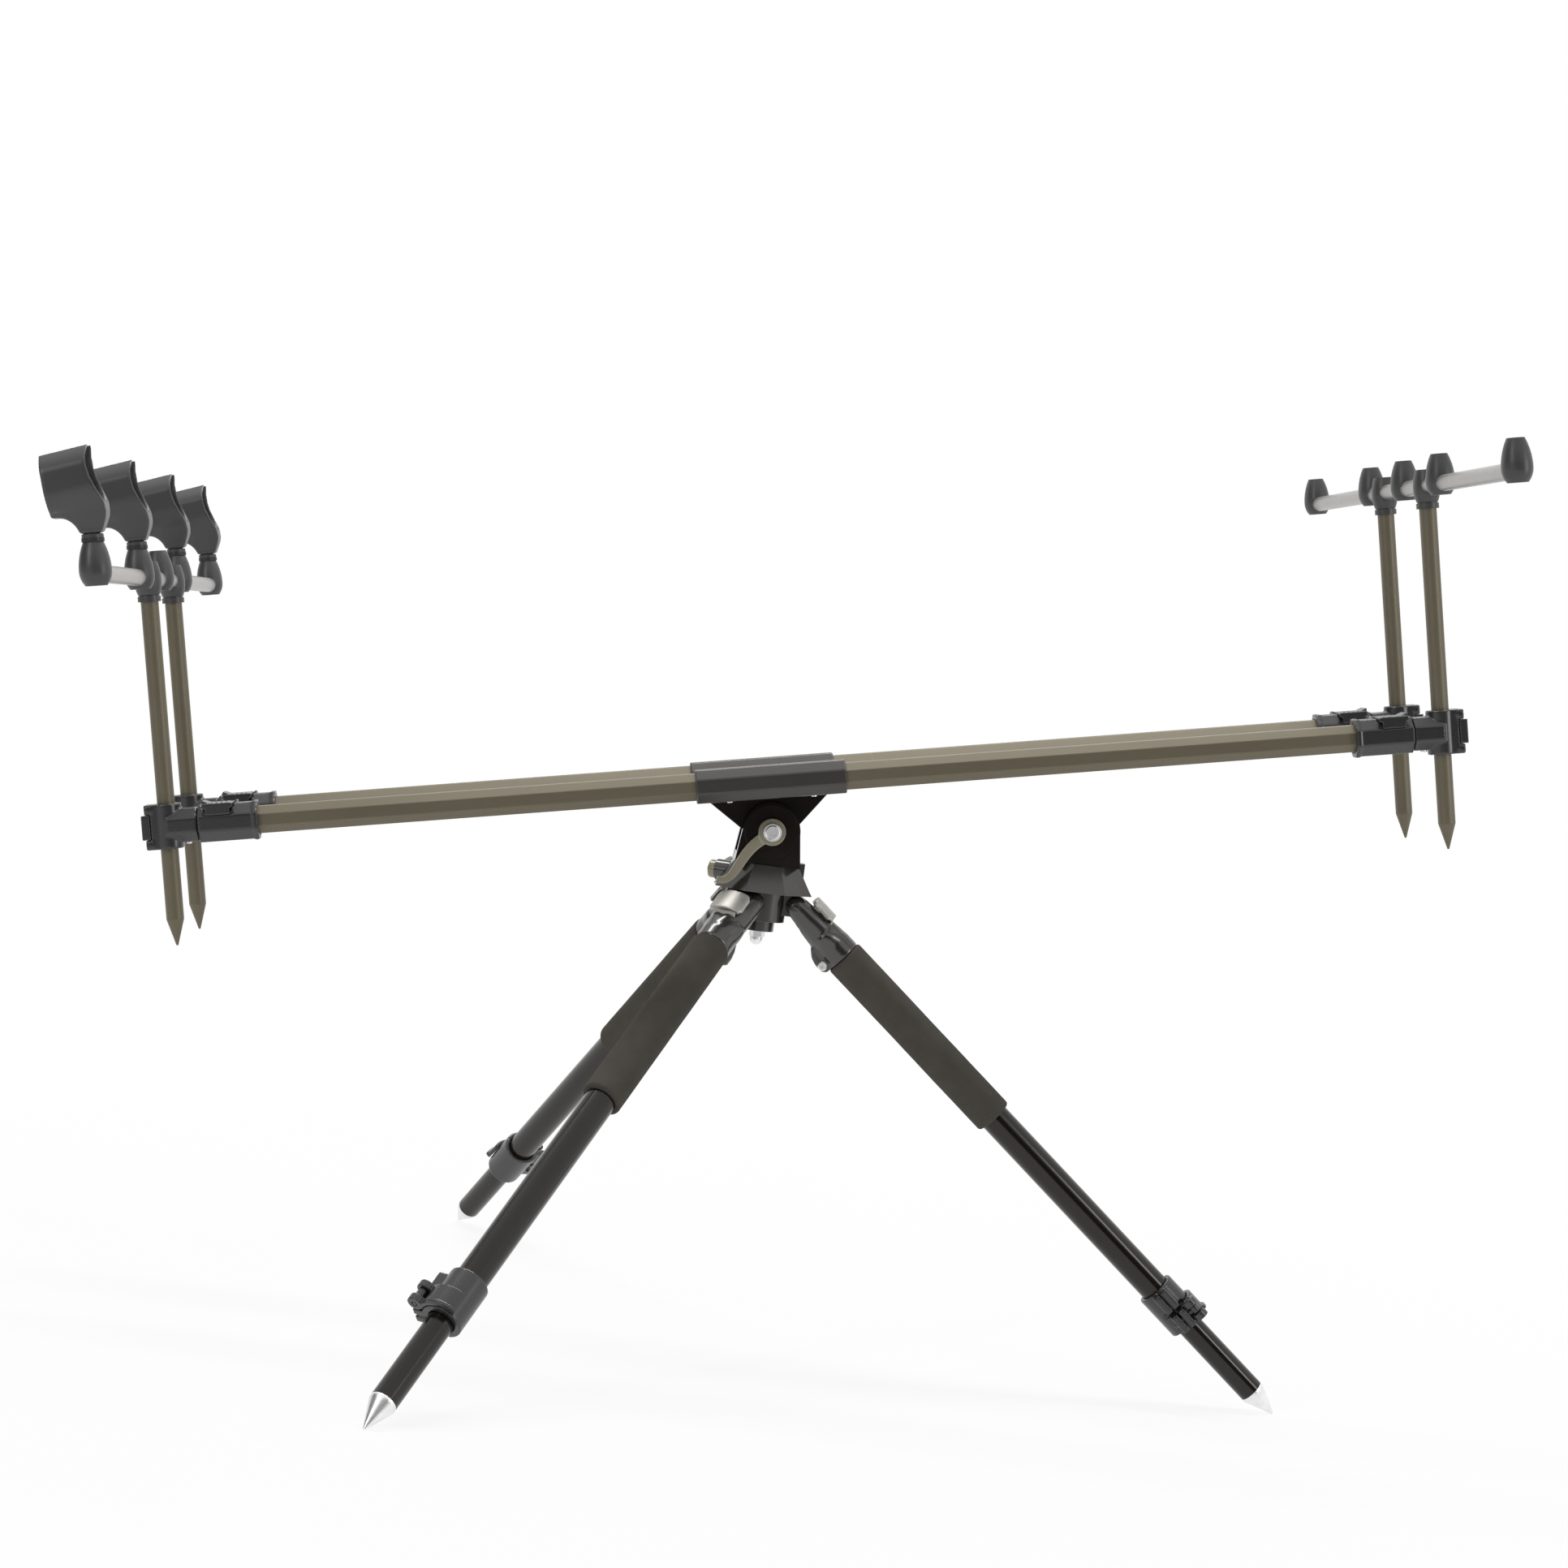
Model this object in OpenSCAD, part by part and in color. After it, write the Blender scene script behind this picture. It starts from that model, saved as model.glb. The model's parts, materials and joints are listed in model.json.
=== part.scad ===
// Tripod rod pod: two telescopic beams on a tilting head, with rod rests at both ends.
// Units are millimetres. +X is the front (towards the water), +Y the left side, +Z up.
// The floor is z = 0. The beam frame has its origin on the tilt axis, x along the beams.
// A leg frame has its origin on the leg's pivot, with the leg along -z and its top face at +x.

/* [Layout] */
// Tilt of the beams, front end up
tilt = 11.4; // [0:0.1:20]
// Distance from the tilt axis to the front sticks
front_reach = 624; // [560:1:700]
// Distance from the tilt axis to the rear sticks
rear_reach = 550; // [500:1:640]
// Distance between the two beams
beam_gap = 162; // [140:1:200]
// Height of the beams above the tilt axis
beam_rise = 49.5; // [46:0.5:60]

/* [Beams] */
// Beam tube, across its flats
beam_af = 25; // [24:0.5:28]
// Wall of the beam tube
beam_wall = 1.6; // [1.2:0.1:1.8]
// Wall of the extension tube inside the beam
ext_wall = 1.5; // [1:0.1:2.5]
// Length of an extension tube
ext_len = 400; // [300:5:420]
// Sleeve round each beam, across its flats
sleeve_af = 31; // [30:0.5:34]
// Length of a sleeve
sleeve_len = 138; // [120:1:160]
// End collar of a beam, across its flats
collar_af = 34; // [32:0.5:36]
// Length of an end collar
collar_len = 54; // [48:1:60]
// Arm of a stick bracket, across its flats
arm_af = 31; // [29:0.5:33]
// Distance from the stick to the bracket's inner end
arm_len = 28; // [24:1:34]
// Height of a stick bracket
bracket_h = 41; // [38:0.5:46]
// Radius of a stick bracket
bracket_r = 13.5; // [12:0.1:14]

/* [Sticks and bars] */
// Diameter of a stick
stick_d = 16; // [15:0.1:16.5]
// Wall of a stick
stick_wall = 1.2; // [0.8:0.1:2]
// Length of a stick's point
point_len = 24; // [18:1:30]
// Height of the front bar above the beams
front_rise = 228; // [150:1:280]
// Height of the rear bar above the beams
rear_rise = 225; // [150:1:280]
// Depth of the stick points below the beams
stick_drop = 109; // [90:1:140]
// Diameter of a bar
bar_d = 15; // [14:0.1:15.5]
// Distance from the middle to the end sockets
end_socket_y = 381; // [300:1:420]
// Distance from the middle to the inner sockets
inner_socket_y = 132; // [120:1:160]
// Height of a socket
socket_h = 37.3; // [34:0.1:42]
// Height of the bar above a socket's foot
socket_bar_z = 10.3; // [9.5:0.1:12]
// Largest radius of a socket
socket_r = 13.3; // [12:0.1:15]
// Radius of a socket's flat top
socket_top_r = 7.6; // [7:0.1:9]
// Radius of a socket's flat foot
socket_foot_r = 8.9; // [8:0.1:10]
// Radius of the threaded hole in a socket
thread_r = 4.4; // [4:0.05:4.8]
// Depth of the threaded hole
thread_depth = 15; // [12:0.5:18]

/* [Butt rests] */
// Radius of the channel's outside
cup_r = 21.5; // [19:0.1:24]
// Wall of the channel
cup_wall = 3; // [2:0.1:4]
// Straight height between the channel's round bottom and its curled top
cup_straight = 14; // [10:0.5:18]
// Width of the gap between the channel's lips
cup_mouth = 26; // [20:0.5:30]
// Height of the channel's axis above the neck
cup_axis_z = 41; // [38:0.5:44]
// Upward pitch of the channel
cup_pitch = 10; // [4:0.1:14]
// Radius of the neck
neck_r = 8.8; // [8:0.1:10]
// Reach of the channel's rear edge behind the neck
cup_rear = 38.6; // [34:0.1:44]
// Height of the knurled lock ring
ring_h = 5; // [4:0.1:6]
// Radius of the lock ring
ring_r = 9.3; // [8.5:0.1:10]

/* [Head] */
// Thickness of the cradle's lug
lug_t = 34; // [28:0.5:40]
// Width of the lug at its top
lug_top_w = 118; // [100:1:130]
// Thickness of a fork cheek
cheek_t = 11; // [9:0.5:14]
// Radius of a fork cheek round the tilt axis
cheek_r = 27; // [26:0.1:28]
// Radius of the raised disc on a cheek
disc_r = 25.2; // [22:0.1:25.8]
// Radius of the tilt bolt
bolt_r = 5; // [4:0.1:6]
// Width of the fork's foot
fork_foot_w = 62; // [56:1:66]
// Distance from the tilt axis down to the top of the skirt
skirt_top = 32; // [29:0.5:36]
// Height of the skirt
skirt_h = 25; // [22:0.5:28]
// Width of the skirt's top, across its flats
skirt_top_af = 62; // [56:1:66]
// Width of the skirt's foot, across its flats
skirt_foot_af = 91; // [84:1:96]

/* [Legs] */
// Splay of a leg from the vertical
splay = 50.4; // [46:0.1:54]
// Turn of the three legs against the beams
leg_turn = -2; // [-6:0.1:6]
// Distance of a leg pivot from the middle
leg_pivot_r = 33; // [31:0.5:36]
// Distance from the tilt axis down to the leg pivots
leg_pivot_drop = 68.2; // [67:0.1:72]
// Width of the hub lug inside a leg's fork
hub_lug_w = 24; // [22:0.5:25]
// Thickness of a fork rail
rail_t = 9.2; // [8:0.1:10]
// Radius of a leg's knuckle
knuckle_r = 10.2; // [9:0.1:10.4]
// Distance from the pivot to the end of the casting
casting_len = 66.5; // [62:0.5:72]
// Distance from the pivot to the closed end of the tube socket
socket_t = 42; // [40:0.5:46]
// Radius of the tube socket's outside
casting_r = 17.4; // [16.5:0.1:18.5]
// Diameter of the outer leg tube
outer_d = 28.5; // [27:0.1:30]
// Diameter of the inner leg tube
inner_d = 24; // [22:0.1:24.5]
// Wall of the inner leg tube
inner_wall = 1.3; // [1:0.1:2]
// Length of the outer tube
outer_len = 480; // [420:1:520]
// Length of the inner tube
inner_len = 465; // [420:1:480]
// Length of inner tube that shows below the outer tube
inner_out = 113.5; // [90:0.5:150]
// Length of the foam grip
foam_len = 208.5; // [160:0.5:240]
// Diameter of the foam grip
foam_d = 37.5; // [34:0.5:40]
// Length of a ground spike
spike_len = 30; // [24:1:36]
// Radius of a spike's blunt tip
spike_tip_r = 1.5; // [1:0.1:2.5]
// Radius of a leg clamp
clamp_r = 18.3; // [17.5:0.1:19]
// Length of the clamp's part on each tube
clamp_half = 22; // [20:0.5:26]

/* [Hidden] */
$fn = 64;

// Clearances: between moving faces, round a turning pin, and between pieces that are fixed together
slide_gap = 0.3;
pin_gap = 0.07;
seat_gap = 0.05;

// Colours
khaki = [0.39, 0.36, 0.28];
black_satin = [0.10, 0.10, 0.10];
black_gloss = [0.06, 0.05, 0.05];
dark_plastic = [0.24, 0.24, 0.25];
anthracite = [0.26, 0.26, 0.27];
bare_metal = [0.80, 0.80, 0.80];
foam_colour = [0.17, 0.16, 0.14];

// Ends of the legs
foot_t = socket_t + outer_len + inner_out + spike_len;
outer_end_t = socket_t + outer_len;
inner_end_t = outer_end_t + inner_out;
pivot_z = leg_pivot_drop + (foot_t - spike_tip_r) * cos(splay) + spike_tip_r;
outer_r = outer_d / 2;
inner_r = inner_d / 2;
tube_clearance = 0.4;
stud_gap = 0.2;
rest_rear_lean = 8.6;

// Places across the pod
stick_y = beam_gap / 2;
sides = [-stick_y, stick_y];
socket_places = [-end_socket_y, -inner_socket_y, 0, inner_socket_y, end_socket_y];
rest_places = [-end_socket_y, -inner_socket_y, inner_socket_y, end_socket_y];
ext_af = beam_af - 2 * beam_wall - 2 * slide_gap;

// Cam levers of the beam collars
lever_l = 27;
lip_t = 2.6;
lever_t = 4.6;
lever_pin_r = 1.3;
lever_knuckle_r = 2.8;
collar_lever_z = collar_af / 2 - 1.2;
collar_lever_from_end = 5;
lip_h = 6;
lever_pin_v = 11.2;
lever_reach = collar_af / 2 + 0.6 + lever_pin_v;

// Cam levers of the stick brackets
lug_reach = 19;
lug_half_w = 12;
lug_thick = 9;
pad_h = bracket_h - 2 * lug_thick - 2 * slide_gap;
stick_pin_u = 15.2;
stick_pin_v = 8.6;
pad_seat = 0.8;
pinch_bolt_r = 3.4;

// Clamp levers of the legs
clamp_pin_x = 15.2;
clamp_pin_y = -22;
clamp_pin_r = 2.5;
clamp_barrel_r = 7;
clamp_lip_x = 7.5;
clamp_lip_y = 27;
clamp_slot = 2;
clamp_cross = 4.6;
clamp_eye_h = 8;

// Angle tabs of the legs
tab_pin_t = 31.5;
tab_pin_x = 12.5;
tab_pin_r = 2;
tab_w = 35;

// Shift of the head along X that centres the whole object over the origin: the foremost point
// is the shoulder of a front stick's point, the rearmost the upper rear corner of a butt rest
lip_top = cup_axis_z + cup_straight + sqrt(pow(cup_r, 2) - pow(cup_mouth / 2, 2));
rest_corner_z = lip_top - cup_rear * tan(cup_pitch);
rest_corner_u = rear_reach + cup_rear - rest_rear_lean * (1 - rest_corner_z / (lip_top + 4));
front_most = (front_reach + stick_d / 2) * cos(tilt) + (stick_drop - point_len - beam_rise) * sin(tilt);
rear_most = rest_corner_u * cos(tilt)
    + (beam_rise + rear_rise + socket_h - socket_bar_z + ring_h + stud_gap + rest_corner_z) * sin(tilt);
hub_x = (rear_most - front_most) / 2;
// Shift across, which the turn of the legs calls for
foot_r = leg_pivot_r + (foot_t - spike_tip_r) * sin(splay);
hub_y = -foot_r * (sin(120 + leg_turn) + sin(240 + leg_turn)) / 2;

// Frames
module in_head() translate([hub_x, hub_y, pivot_z]) children();
module in_beam() in_head() rotate([0, -tilt, 0]) children();
module to_pivot(k) rotate([0, 0, 120 * (k - 1) + leg_turn])
    translate([leg_pivot_r, 0, -leg_pivot_drop]) children();
module in_leg(k) in_head() to_pivot(k) rotate([0, -splay, 0]) children();
module at_end(front) mirror([front ? 0 : 1, 0, 0]) children();

// Eight-sided outline with two level flats
module octagon(af) rotate(22.5) circle(d = af / cos(22.5), $fn = 8);
// Extrusions along the beams and across them
module along_u(len) rotate([90, 0, 90]) linear_extrude(len) children();
module along_y(len) rotate([90, 0, 0]) linear_extrude(len, center = true) children();
// Cylinder across the frame it stands in
module cross_pin(r, len) rotate([90, 0, 0]) cylinder(r = r, h = len, center = true);
// Straight piece of a leg, from one distance to another
module leg_piece(r, from, to) translate([0, 0, -to]) cylinder(r = r, h = to - from);

// Points of a curved arm of even width that tapers to its tip
function bezier(p, s) = pow(1 - s, 3) * p[0] + 3 * s * pow(1 - s, 2) * p[1]
    + 3 * s * s * (1 - s) * p[2] + pow(s, 3) * p[3];
function slope(p, s) = 3 * pow(1 - s, 2) * (p[1] - p[0]) + 6 * s * (1 - s) * (p[2] - p[1])
    + 3 * s * s * (p[3] - p[2]);
function side_point(p, s, w) = let (d = slope(p, s)) bezier(p, s) + w / norm(d) * [-d[1], d[0]];
function arm_outline(p, w0, w1, steps) = concat(
    [for (i = [0 : steps]) let (s = i / steps) side_point(p, s, w0 + (w1 - w0) * s)],
    [for (i = [steps : -1 : 0]) let (s = i / steps) side_point(p, s, -(w0 + (w1 - w0) * s))]
);

// HEAD AND SPIDER

hub_r = 24;
skirt_foot = skirt_top + skirt_h;
hub_top = skirt_foot + slide_gap;
bolt_rise = 8;
hub_foot = leg_pivot_drop + knuckle_r + 7;
boss_r = 15;
boss_h = 10;
pan_spigot_r = 11;
pan_spigot_len = 16;
centre_bolt_r = 5;
nut_h = 6;
pin_end = 2;
leg_pin_r = 4;
leg_fork_w = hub_lug_w + 2 * slide_gap + 2 * rail_t;

module spider_hub() {
    color(black_satin) in_head() difference() {
        union() {
            translate([0, 0, -hub_foot]) cylinder(r = hub_r, h = hub_foot - hub_top);
            translate([0, 0, -hub_foot - boss_h]) cylinder(r = boss_r, h = boss_h);
            for (k = [1 : 3]) to_pivot(k) {
                cross_pin(knuckle_r, hub_lug_w);
                translate([-leg_pivot_r, -hub_lug_w / 2, -knuckle_r])
                    cube([leg_pivot_r, hub_lug_w, 2 * knuckle_r]);
            }
        }
        for (k = [1 : 3]) to_pivot(k) cross_pin(leg_pin_r + seat_gap, leg_fork_w);
        translate([0, 0, -hub_foot - boss_h - 1])
            cylinder(r = centre_bolt_r + seat_gap, h = boss_h + hub_foot - hub_top + 2);
    }
}

module leg_pivot_pins() {
    color(black_satin) in_head() for (k = [1 : 3]) to_pivot(k) cross_pin(leg_pin_r, leg_fork_w - pin_end);
}

// Bolt that the head turns on, with a plain nut and a domed one below the spider
module centre_bolt() {
    foot = hub_foot + boss_h;
    dome_r = 6;
    color(bare_metal) in_head() {
        translate([0, 0, -foot - nut_h])
            cylinder(r = centre_bolt_r, h = foot + nut_h - skirt_foot + bolt_rise);
        difference() {
            translate([0, 0, -foot - nut_h]) cylinder(d = 15, h = nut_h, $fn = 6);
            translate([0, 0, -foot - nut_h - 1]) cylinder(r = centre_bolt_r + seat_gap, h = nut_h + 2);
        }
        translate([0, 0, -foot - nut_h - 2]) cylinder(r = dome_r, h = 2);
        translate([0, 0, -foot - nut_h - 2]) sphere(r = dome_r);
    }
}

pan_boss_az = 155;
pan_boss_r = 10;
pan_boss_reach = 48;
pan_boss_drop = skirt_top + 12.5;
pan_pin_r = 4;

// Faceted cover over the spider, with ribs and the boss of the pan lock
module head_skirt() {
    rib_w = 2.4;
    stop = [4.5, 16, 14];
    stop_drop = 10;
    color(black_satin) in_head() {
        difference() {
            union() {
                translate([0, 0, -skirt_foot]) rotate([0, 0, 22.5]) cylinder(
                    d1 = skirt_foot_af / cos(22.5), d2 = skirt_top_af / cos(22.5), h = skirt_h, $fn = 8);
                for (a = [22.5 : 45 : 337.5]) rotate([0, 0, a])
                    along_y(rib_w) polygon([
                        [skirt_top_af / 2 - 6, -skirt_top - 3],
                        [skirt_top_af / 2 + 2.6, -skirt_top - 3],
                        [skirt_foot_af / 2 + 3.6, -skirt_foot],
                        [skirt_foot_af / 2 - 6, -skirt_foot]
                    ]);
                translate([skirt_top_af / 2 + 1, -stop[1] / 2, -skirt_top - stop_drop]) cube(stop);
                rotate([0, 0, pan_boss_az]) translate([0, 0, -pan_boss_drop]) rotate([0, 90, 0])
                    cylinder(r = pan_boss_r, h = pan_boss_reach);
                rotate([0, 0, pan_boss_az]) translate([0, 0, -pan_boss_drop]) rotate([0, 90, 0])
                    cylinder(r = pan_pin_r, h = pan_boss_reach + 9);
            }
            translate([0, 0, -skirt_top - pan_spigot_len])
                cylinder(r = pan_spigot_r + seat_gap, h = pan_spigot_len + 1);
            translate([0, 0, -skirt_foot - 1]) cylinder(r = centre_bolt_r + pin_gap, h = skirt_h);
        }
    }
}

// Small lever that locks the turn of the head
module pan_lever() {
    path = [[-6, 0], [-24, 0], [-28, 6], [-42, 8]];
    color(khaki) in_head() rotate([0, 0, pan_boss_az])
        translate([pan_boss_reach + slide_gap, 0, -pan_boss_drop]) rotate([90, 0, 90]) difference() {
            union() {
                cylinder(r = 8.5, h = 7);
                linear_extrude(6) polygon(arm_outline(path, 5, 3.4, 10));
            }
            translate([0, 0, -1]) cylinder(r = pan_pin_r + pin_gap, h = 10);
        }
}

fork_gap = lug_t + 2 * slide_gap;
fork_w = fork_gap + 2 * cheek_t;
disc_t = 2.4;
tilt_face = fork_w / 2 + disc_t;
fork_base_h = 9;

// Turning fork that holds the tilt axis
module pan_fork() {
    base_z = skirt_top - seat_gap;
    cheek_foot = base_z - fork_base_h;
    color(black_satin) in_head() difference() {
        union() {
            for (s = [-1, 1]) translate([0, s * (fork_gap + cheek_t) / 2, 0]) {
                cross_pin(cheek_r, cheek_t);
                along_y(cheek_t) polygon([
                    [-cheek_r, 0], [cheek_r, 0],
                    [fork_foot_w / 2, -base_z], [-fork_foot_w / 2, -base_z]
                ]);
            }
            for (s = [-1, 1]) translate([0, s * (fork_w + disc_t) / 2, 0]) cross_pin(disc_r, disc_t);
            along_y(fork_w) polygon([
                [-fork_foot_w / 2 + 1.4, -cheek_foot], [fork_foot_w / 2 - 1.4, -cheek_foot],
                [fork_foot_w / 2, -base_z], [-fork_foot_w / 2, -base_z]
            ]);
            translate([0, 0, -skirt_top - pan_spigot_len + 1])
                cylinder(r = pan_spigot_r, h = pan_spigot_len);
        }
        cross_pin(bolt_r + seat_gap, fork_w + 4 * disc_t);
        cross_pin(lug_foot_r + slide_gap, fork_gap);
    }
}

bolt_head_r = 8.4;
bolt_head_h = 5;
lever_boss_r = 12.8;
lever_boss_h = 9;
tilt_nut_h = 7;

// Bolt on the tilt axis, with its round head at the lever's side and a nut at the other
module tilt_bolt() {
    head_y = -(tilt_face + slide_gap + lever_boss_h + slide_gap);
    color(bare_metal) in_head() {
        translate([0, tilt_face + tilt_nut_h, 0]) rotate([90, 0, 0])
            cylinder(r = bolt_r, h = tilt_face + tilt_nut_h - head_y);
        translate([0, head_y, 0]) rotate([90, 0, 0]) cylinder(r = bolt_head_r, h = bolt_head_h);
        difference() {
            translate([0, tilt_face + tilt_nut_h, 0]) rotate([90, 0, 0])
                cylinder(d = 19, h = tilt_nut_h, $fn = 6);
            translate([0, tilt_face + tilt_nut_h / 2, 0]) cross_pin(bolt_r + seat_gap, tilt_nut_h + 2);
        }
    }
}

// Swept clamping lever on the tilt axis
module tilt_lever() {
    path = [[-6, -6], [-30, -22], [-26, -54], [-46, -50]];
    color(khaki) in_head() translate([0, -tilt_face - slide_gap - lever_boss_h / 2, 0]) difference() {
        union() {
            cross_pin(lever_boss_r, lever_boss_h);
            along_y(lever_boss_h - 1.5) polygon(arm_outline(path, 5.6, 3.2, 18));
        }
        cross_pin(bolt_r + pin_gap, lever_boss_h + 2);
    }
}

// BEAMS

lug_foot_r = 22;
bridge_l = 66;
bridge_t = 12;
sleeve_foot = beam_rise - sleeve_af / 2;

// Wedge-shaped lug on the tilt axis, and the bridge that carries the two sleeves
module cradle_lug() {
    top = sleeve_foot + bridge_t;
    color(black_satin) in_beam() difference() {
        union() {
            along_y(lug_t) polygon([
                [-lug_top_w / 2, top], [lug_top_w / 2, top],
                [lug_top_w / 2, sleeve_foot], [lug_foot_r * 0.86, -4],
                [-lug_foot_r * 0.86, -4], [-lug_top_w / 2, sleeve_foot]
            ]);
            cross_pin(lug_foot_r, lug_t);
            translate([-bridge_l / 2, -stick_y, sleeve_foot]) cube([bridge_l, beam_gap, bridge_t]);
        }
        cross_pin(bolt_r + pin_gap, lug_t + 2);
        for (y = sides) translate([-sleeve_len / 2, y, beam_rise]) along_u(sleeve_len)
            octagon(sleeve_af + 2 * seat_gap);
    }
}

module beam_sleeves() {
    color(anthracite) in_beam() for (y = sides) translate([-sleeve_len / 2, y, beam_rise])
        difference() {
            along_u(sleeve_len) octagon(sleeve_af);
            translate([-1, 0, 0]) along_u(sleeve_len + 2) octagon(beam_af + 2 * seat_gap);
        }
}

collar_gap = 0.8;
collar_lip = 4;
front_collar_end = front_reach - arm_len - collar_gap;
rear_collar_end = rear_reach - arm_len - collar_gap;

module main_beams() {
    len = front_collar_end + rear_collar_end - 2 * collar_lip;
    color(khaki) in_beam() for (y = sides)
        translate([collar_lip - rear_collar_end, y, beam_rise]) difference() {
            along_u(len) octagon(beam_af);
            translate([-1, 0, 0]) along_u(len + 2) octagon(beam_af - 2 * beam_wall);
        }
}

// End collar with a bed for its lever; its outer end lies at x = 0
module end_collar() {
    bed_l = lever_l + 2 * slide_gap;
    mid = -collar_lever_from_end - lever_l / 2;
    rim_l = 4;
    rim_t = 0.9;
    groove_n = 3;
    groove_w = 0.9;
    difference() {
        union() {
            translate([-collar_len, 0, 0]) along_u(collar_len) octagon(collar_af);
            translate([-collar_len, 0, 0]) along_u(rim_l) octagon(collar_af + 2 * rim_t);
            translate([mid - bed_l / 2 - 3, 6, 0]) cube([bed_l + 6, 9, collar_af / 2 + 2.2]);
        }
        translate([-collar_len - 1, 0, 0]) along_u(collar_len - collar_lip + 1)
            octagon(beam_af + 2 * seat_gap);
        translate([-collar_len - 1, 0, 0]) along_u(collar_len + 2) octagon(ext_af + 2 * slide_gap);
        translate([mid - bed_l / 2, -collar_af, collar_lever_z - slide_gap - lever_t / 2])
            cube([bed_l, 2 * collar_af, collar_af]);
        translate([mid - bed_l / 2, -collar_af, collar_lever_z - lip_h - lever_t / 2 - slide_gap])
            cube([bed_l, collar_af + lever_pin_v - lever_reach + lip_t + slide_gap, collar_af]);
        translate([mid - bed_l / 2, lever_pin_v, collar_lever_z])
            rotate([0, 90, 0]) cylinder(r = lever_knuckle_r + slide_gap, h = bed_l);
        for (i = [0 : groove_n - 1])
            translate([mid + 3 * groove_w * (i - 1), -collar_af / 2, -collar_af / 3])
                cube([groove_w, groove_w, collar_af / 2]);
    }
    translate([mid - bed_l / 2 - 1, lever_pin_v, collar_lever_z]) rotate([0, 90, 0])
        cylinder(r = lever_pin_r, h = bed_l + 2);
}

module beam_collars() {
    color(dark_plastic) in_beam() for (y = sides) translate([0, y, beam_rise]) {
        translate([front_collar_end, 0, 0]) end_collar();
        at_end(false) translate([rear_collar_end, 0, 0]) end_collar();
    }
}

// Ridged pad that hooks over the collar's right side
module collar_lever(front, y) {
    mid = -collar_lever_from_end - lever_l / 2;
    ridge_n = 4;
    ramp_l = 8;
    ramp_h = 3.2;
    end = front ? front_collar_end : rear_collar_end;
    color(dark_plastic) in_beam() translate([0, y, beam_rise]) at_end(front)
        translate([end + mid - lever_l / 2, lever_pin_v, collar_lever_z]) difference() {
            union() {
                rotate([0, 90, 0]) cylinder(r = lever_knuckle_r, h = lever_l);
                translate([0, -lever_reach, -lever_t / 2]) cube([lever_l, lever_reach, lever_t]);
                translate([2.5, -lever_reach, -lip_h - lever_t / 2]) cube([lever_l - 5, lip_t, lip_h + 1]);
                translate([lever_l, -lever_reach / 2, lever_t / 2]) along_y(lever_reach - 6)
                    polygon([[-ramp_l, 0], [0, ramp_h], [0, -1], [-ramp_l, -1]]);
                for (i = [0 : ridge_n - 1])
                    translate([4.5 * i + 4.5, -lever_reach + 2, lever_t / 2 - 0.6]) rotate([-90, 0, 0])
                        cylinder(r = 1.5, h = lever_reach - 6);
            }
            translate([-1, 0, 0]) rotate([0, 90, 0]) cylinder(r = lever_pin_r + pin_gap, h = lever_l + 2);
        }
}

// Bracket with a stick at x = 0 and its arm towards the beam
module stick_bracket() {
    block_l = stick_pin_u - pad_seat - slide_gap;
    difference() {
        union() {
            translate([-arm_len, 0, 0]) along_u(arm_len) octagon(arm_af);
            cylinder(r = bracket_r, h = bracket_h, center = true);
            for (s = [-1, 1]) translate([0, -lug_half_w, s * (bracket_h - lug_thick) / 2 - lug_thick / 2])
                cube([lug_reach, 2 * lug_half_w, lug_thick]);
            translate([0, -lug_half_w, -bracket_h / 2]) cube([block_l, 2 * lug_half_w, bracket_h]);
            for (s = [-1, 1]) translate([lug_reach - pinch_bolt_r, 0, s * (bracket_h - lug_thick) / 2])
                cross_pin(pinch_bolt_r, 2 * lug_half_w + 2);
        }
        translate([-arm_len - 1, 0, 0]) along_u(arm_len - bracket_r + 1) octagon(ext_af + 2 * seat_gap);
        cylinder(r = stick_d / 2 + slide_gap, h = bracket_h + 2, center = true);
        translate([0, -0.8, -bracket_h]) cube([lug_reach + 1, 1.6, 2 * bracket_h]);
        translate([stick_pin_u, stick_pin_v, 0])
            cylinder(r = lever_knuckle_r + slide_gap, h = pad_h + 2 * slide_gap, center = true);
    }
    translate([stick_pin_u, stick_pin_v, 0])
        cylinder(r = lever_pin_r, h = bracket_h - lug_thick, center = true);
}

module front_brackets() {
    color(dark_plastic) in_beam() for (y = sides)
        translate([front_reach, y, beam_rise]) stick_bracket();
}

module rear_brackets() {
    color(dark_plastic) in_beam() for (y = sides)
        translate([-rear_reach, y, beam_rise]) at_end(false) stick_bracket();
}

// Ridged pad on the outer end of a bracket
module stick_lever(front, y) {
    pad_w = 21.5;
    crown_r = 36;
    crown_x = 5;
    ridge_n = 4;
    thumb = [6.8, 2.4];
    color(dark_plastic) in_beam()
        translate([front ? front_reach : -rear_reach, y, beam_rise]) at_end(front)
        translate([stick_pin_u, stick_pin_v, 0]) difference() {
            union() {
                cylinder(r = lever_knuckle_r, h = pad_h, center = true);
                linear_extrude(pad_h, center = true) {
                    intersection() {
                        translate([-pad_seat, -pad_w]) square([2 * crown_x, pad_w]);
                        translate([crown_x - crown_r, -pad_w / 2]) circle(r = crown_r, $fn = 180);
                    }
                    translate([0, -pad_w]) square(thumb);
                    for (i = [1 : ridge_n])
                        let (v = -pad_w + 3.6 * i + 2.2, rise = sqrt(pow(crown_r, 2) - pow(v + pad_w / 2, 2)))
                            translate([crown_x - crown_r + rise - 0.6, v]) circle(r = 1.3, $fn = 24);
                }
            }
            cylinder(r = lever_pin_r + pin_gap, h = pad_h + 2, center = true);
        }
}

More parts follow.
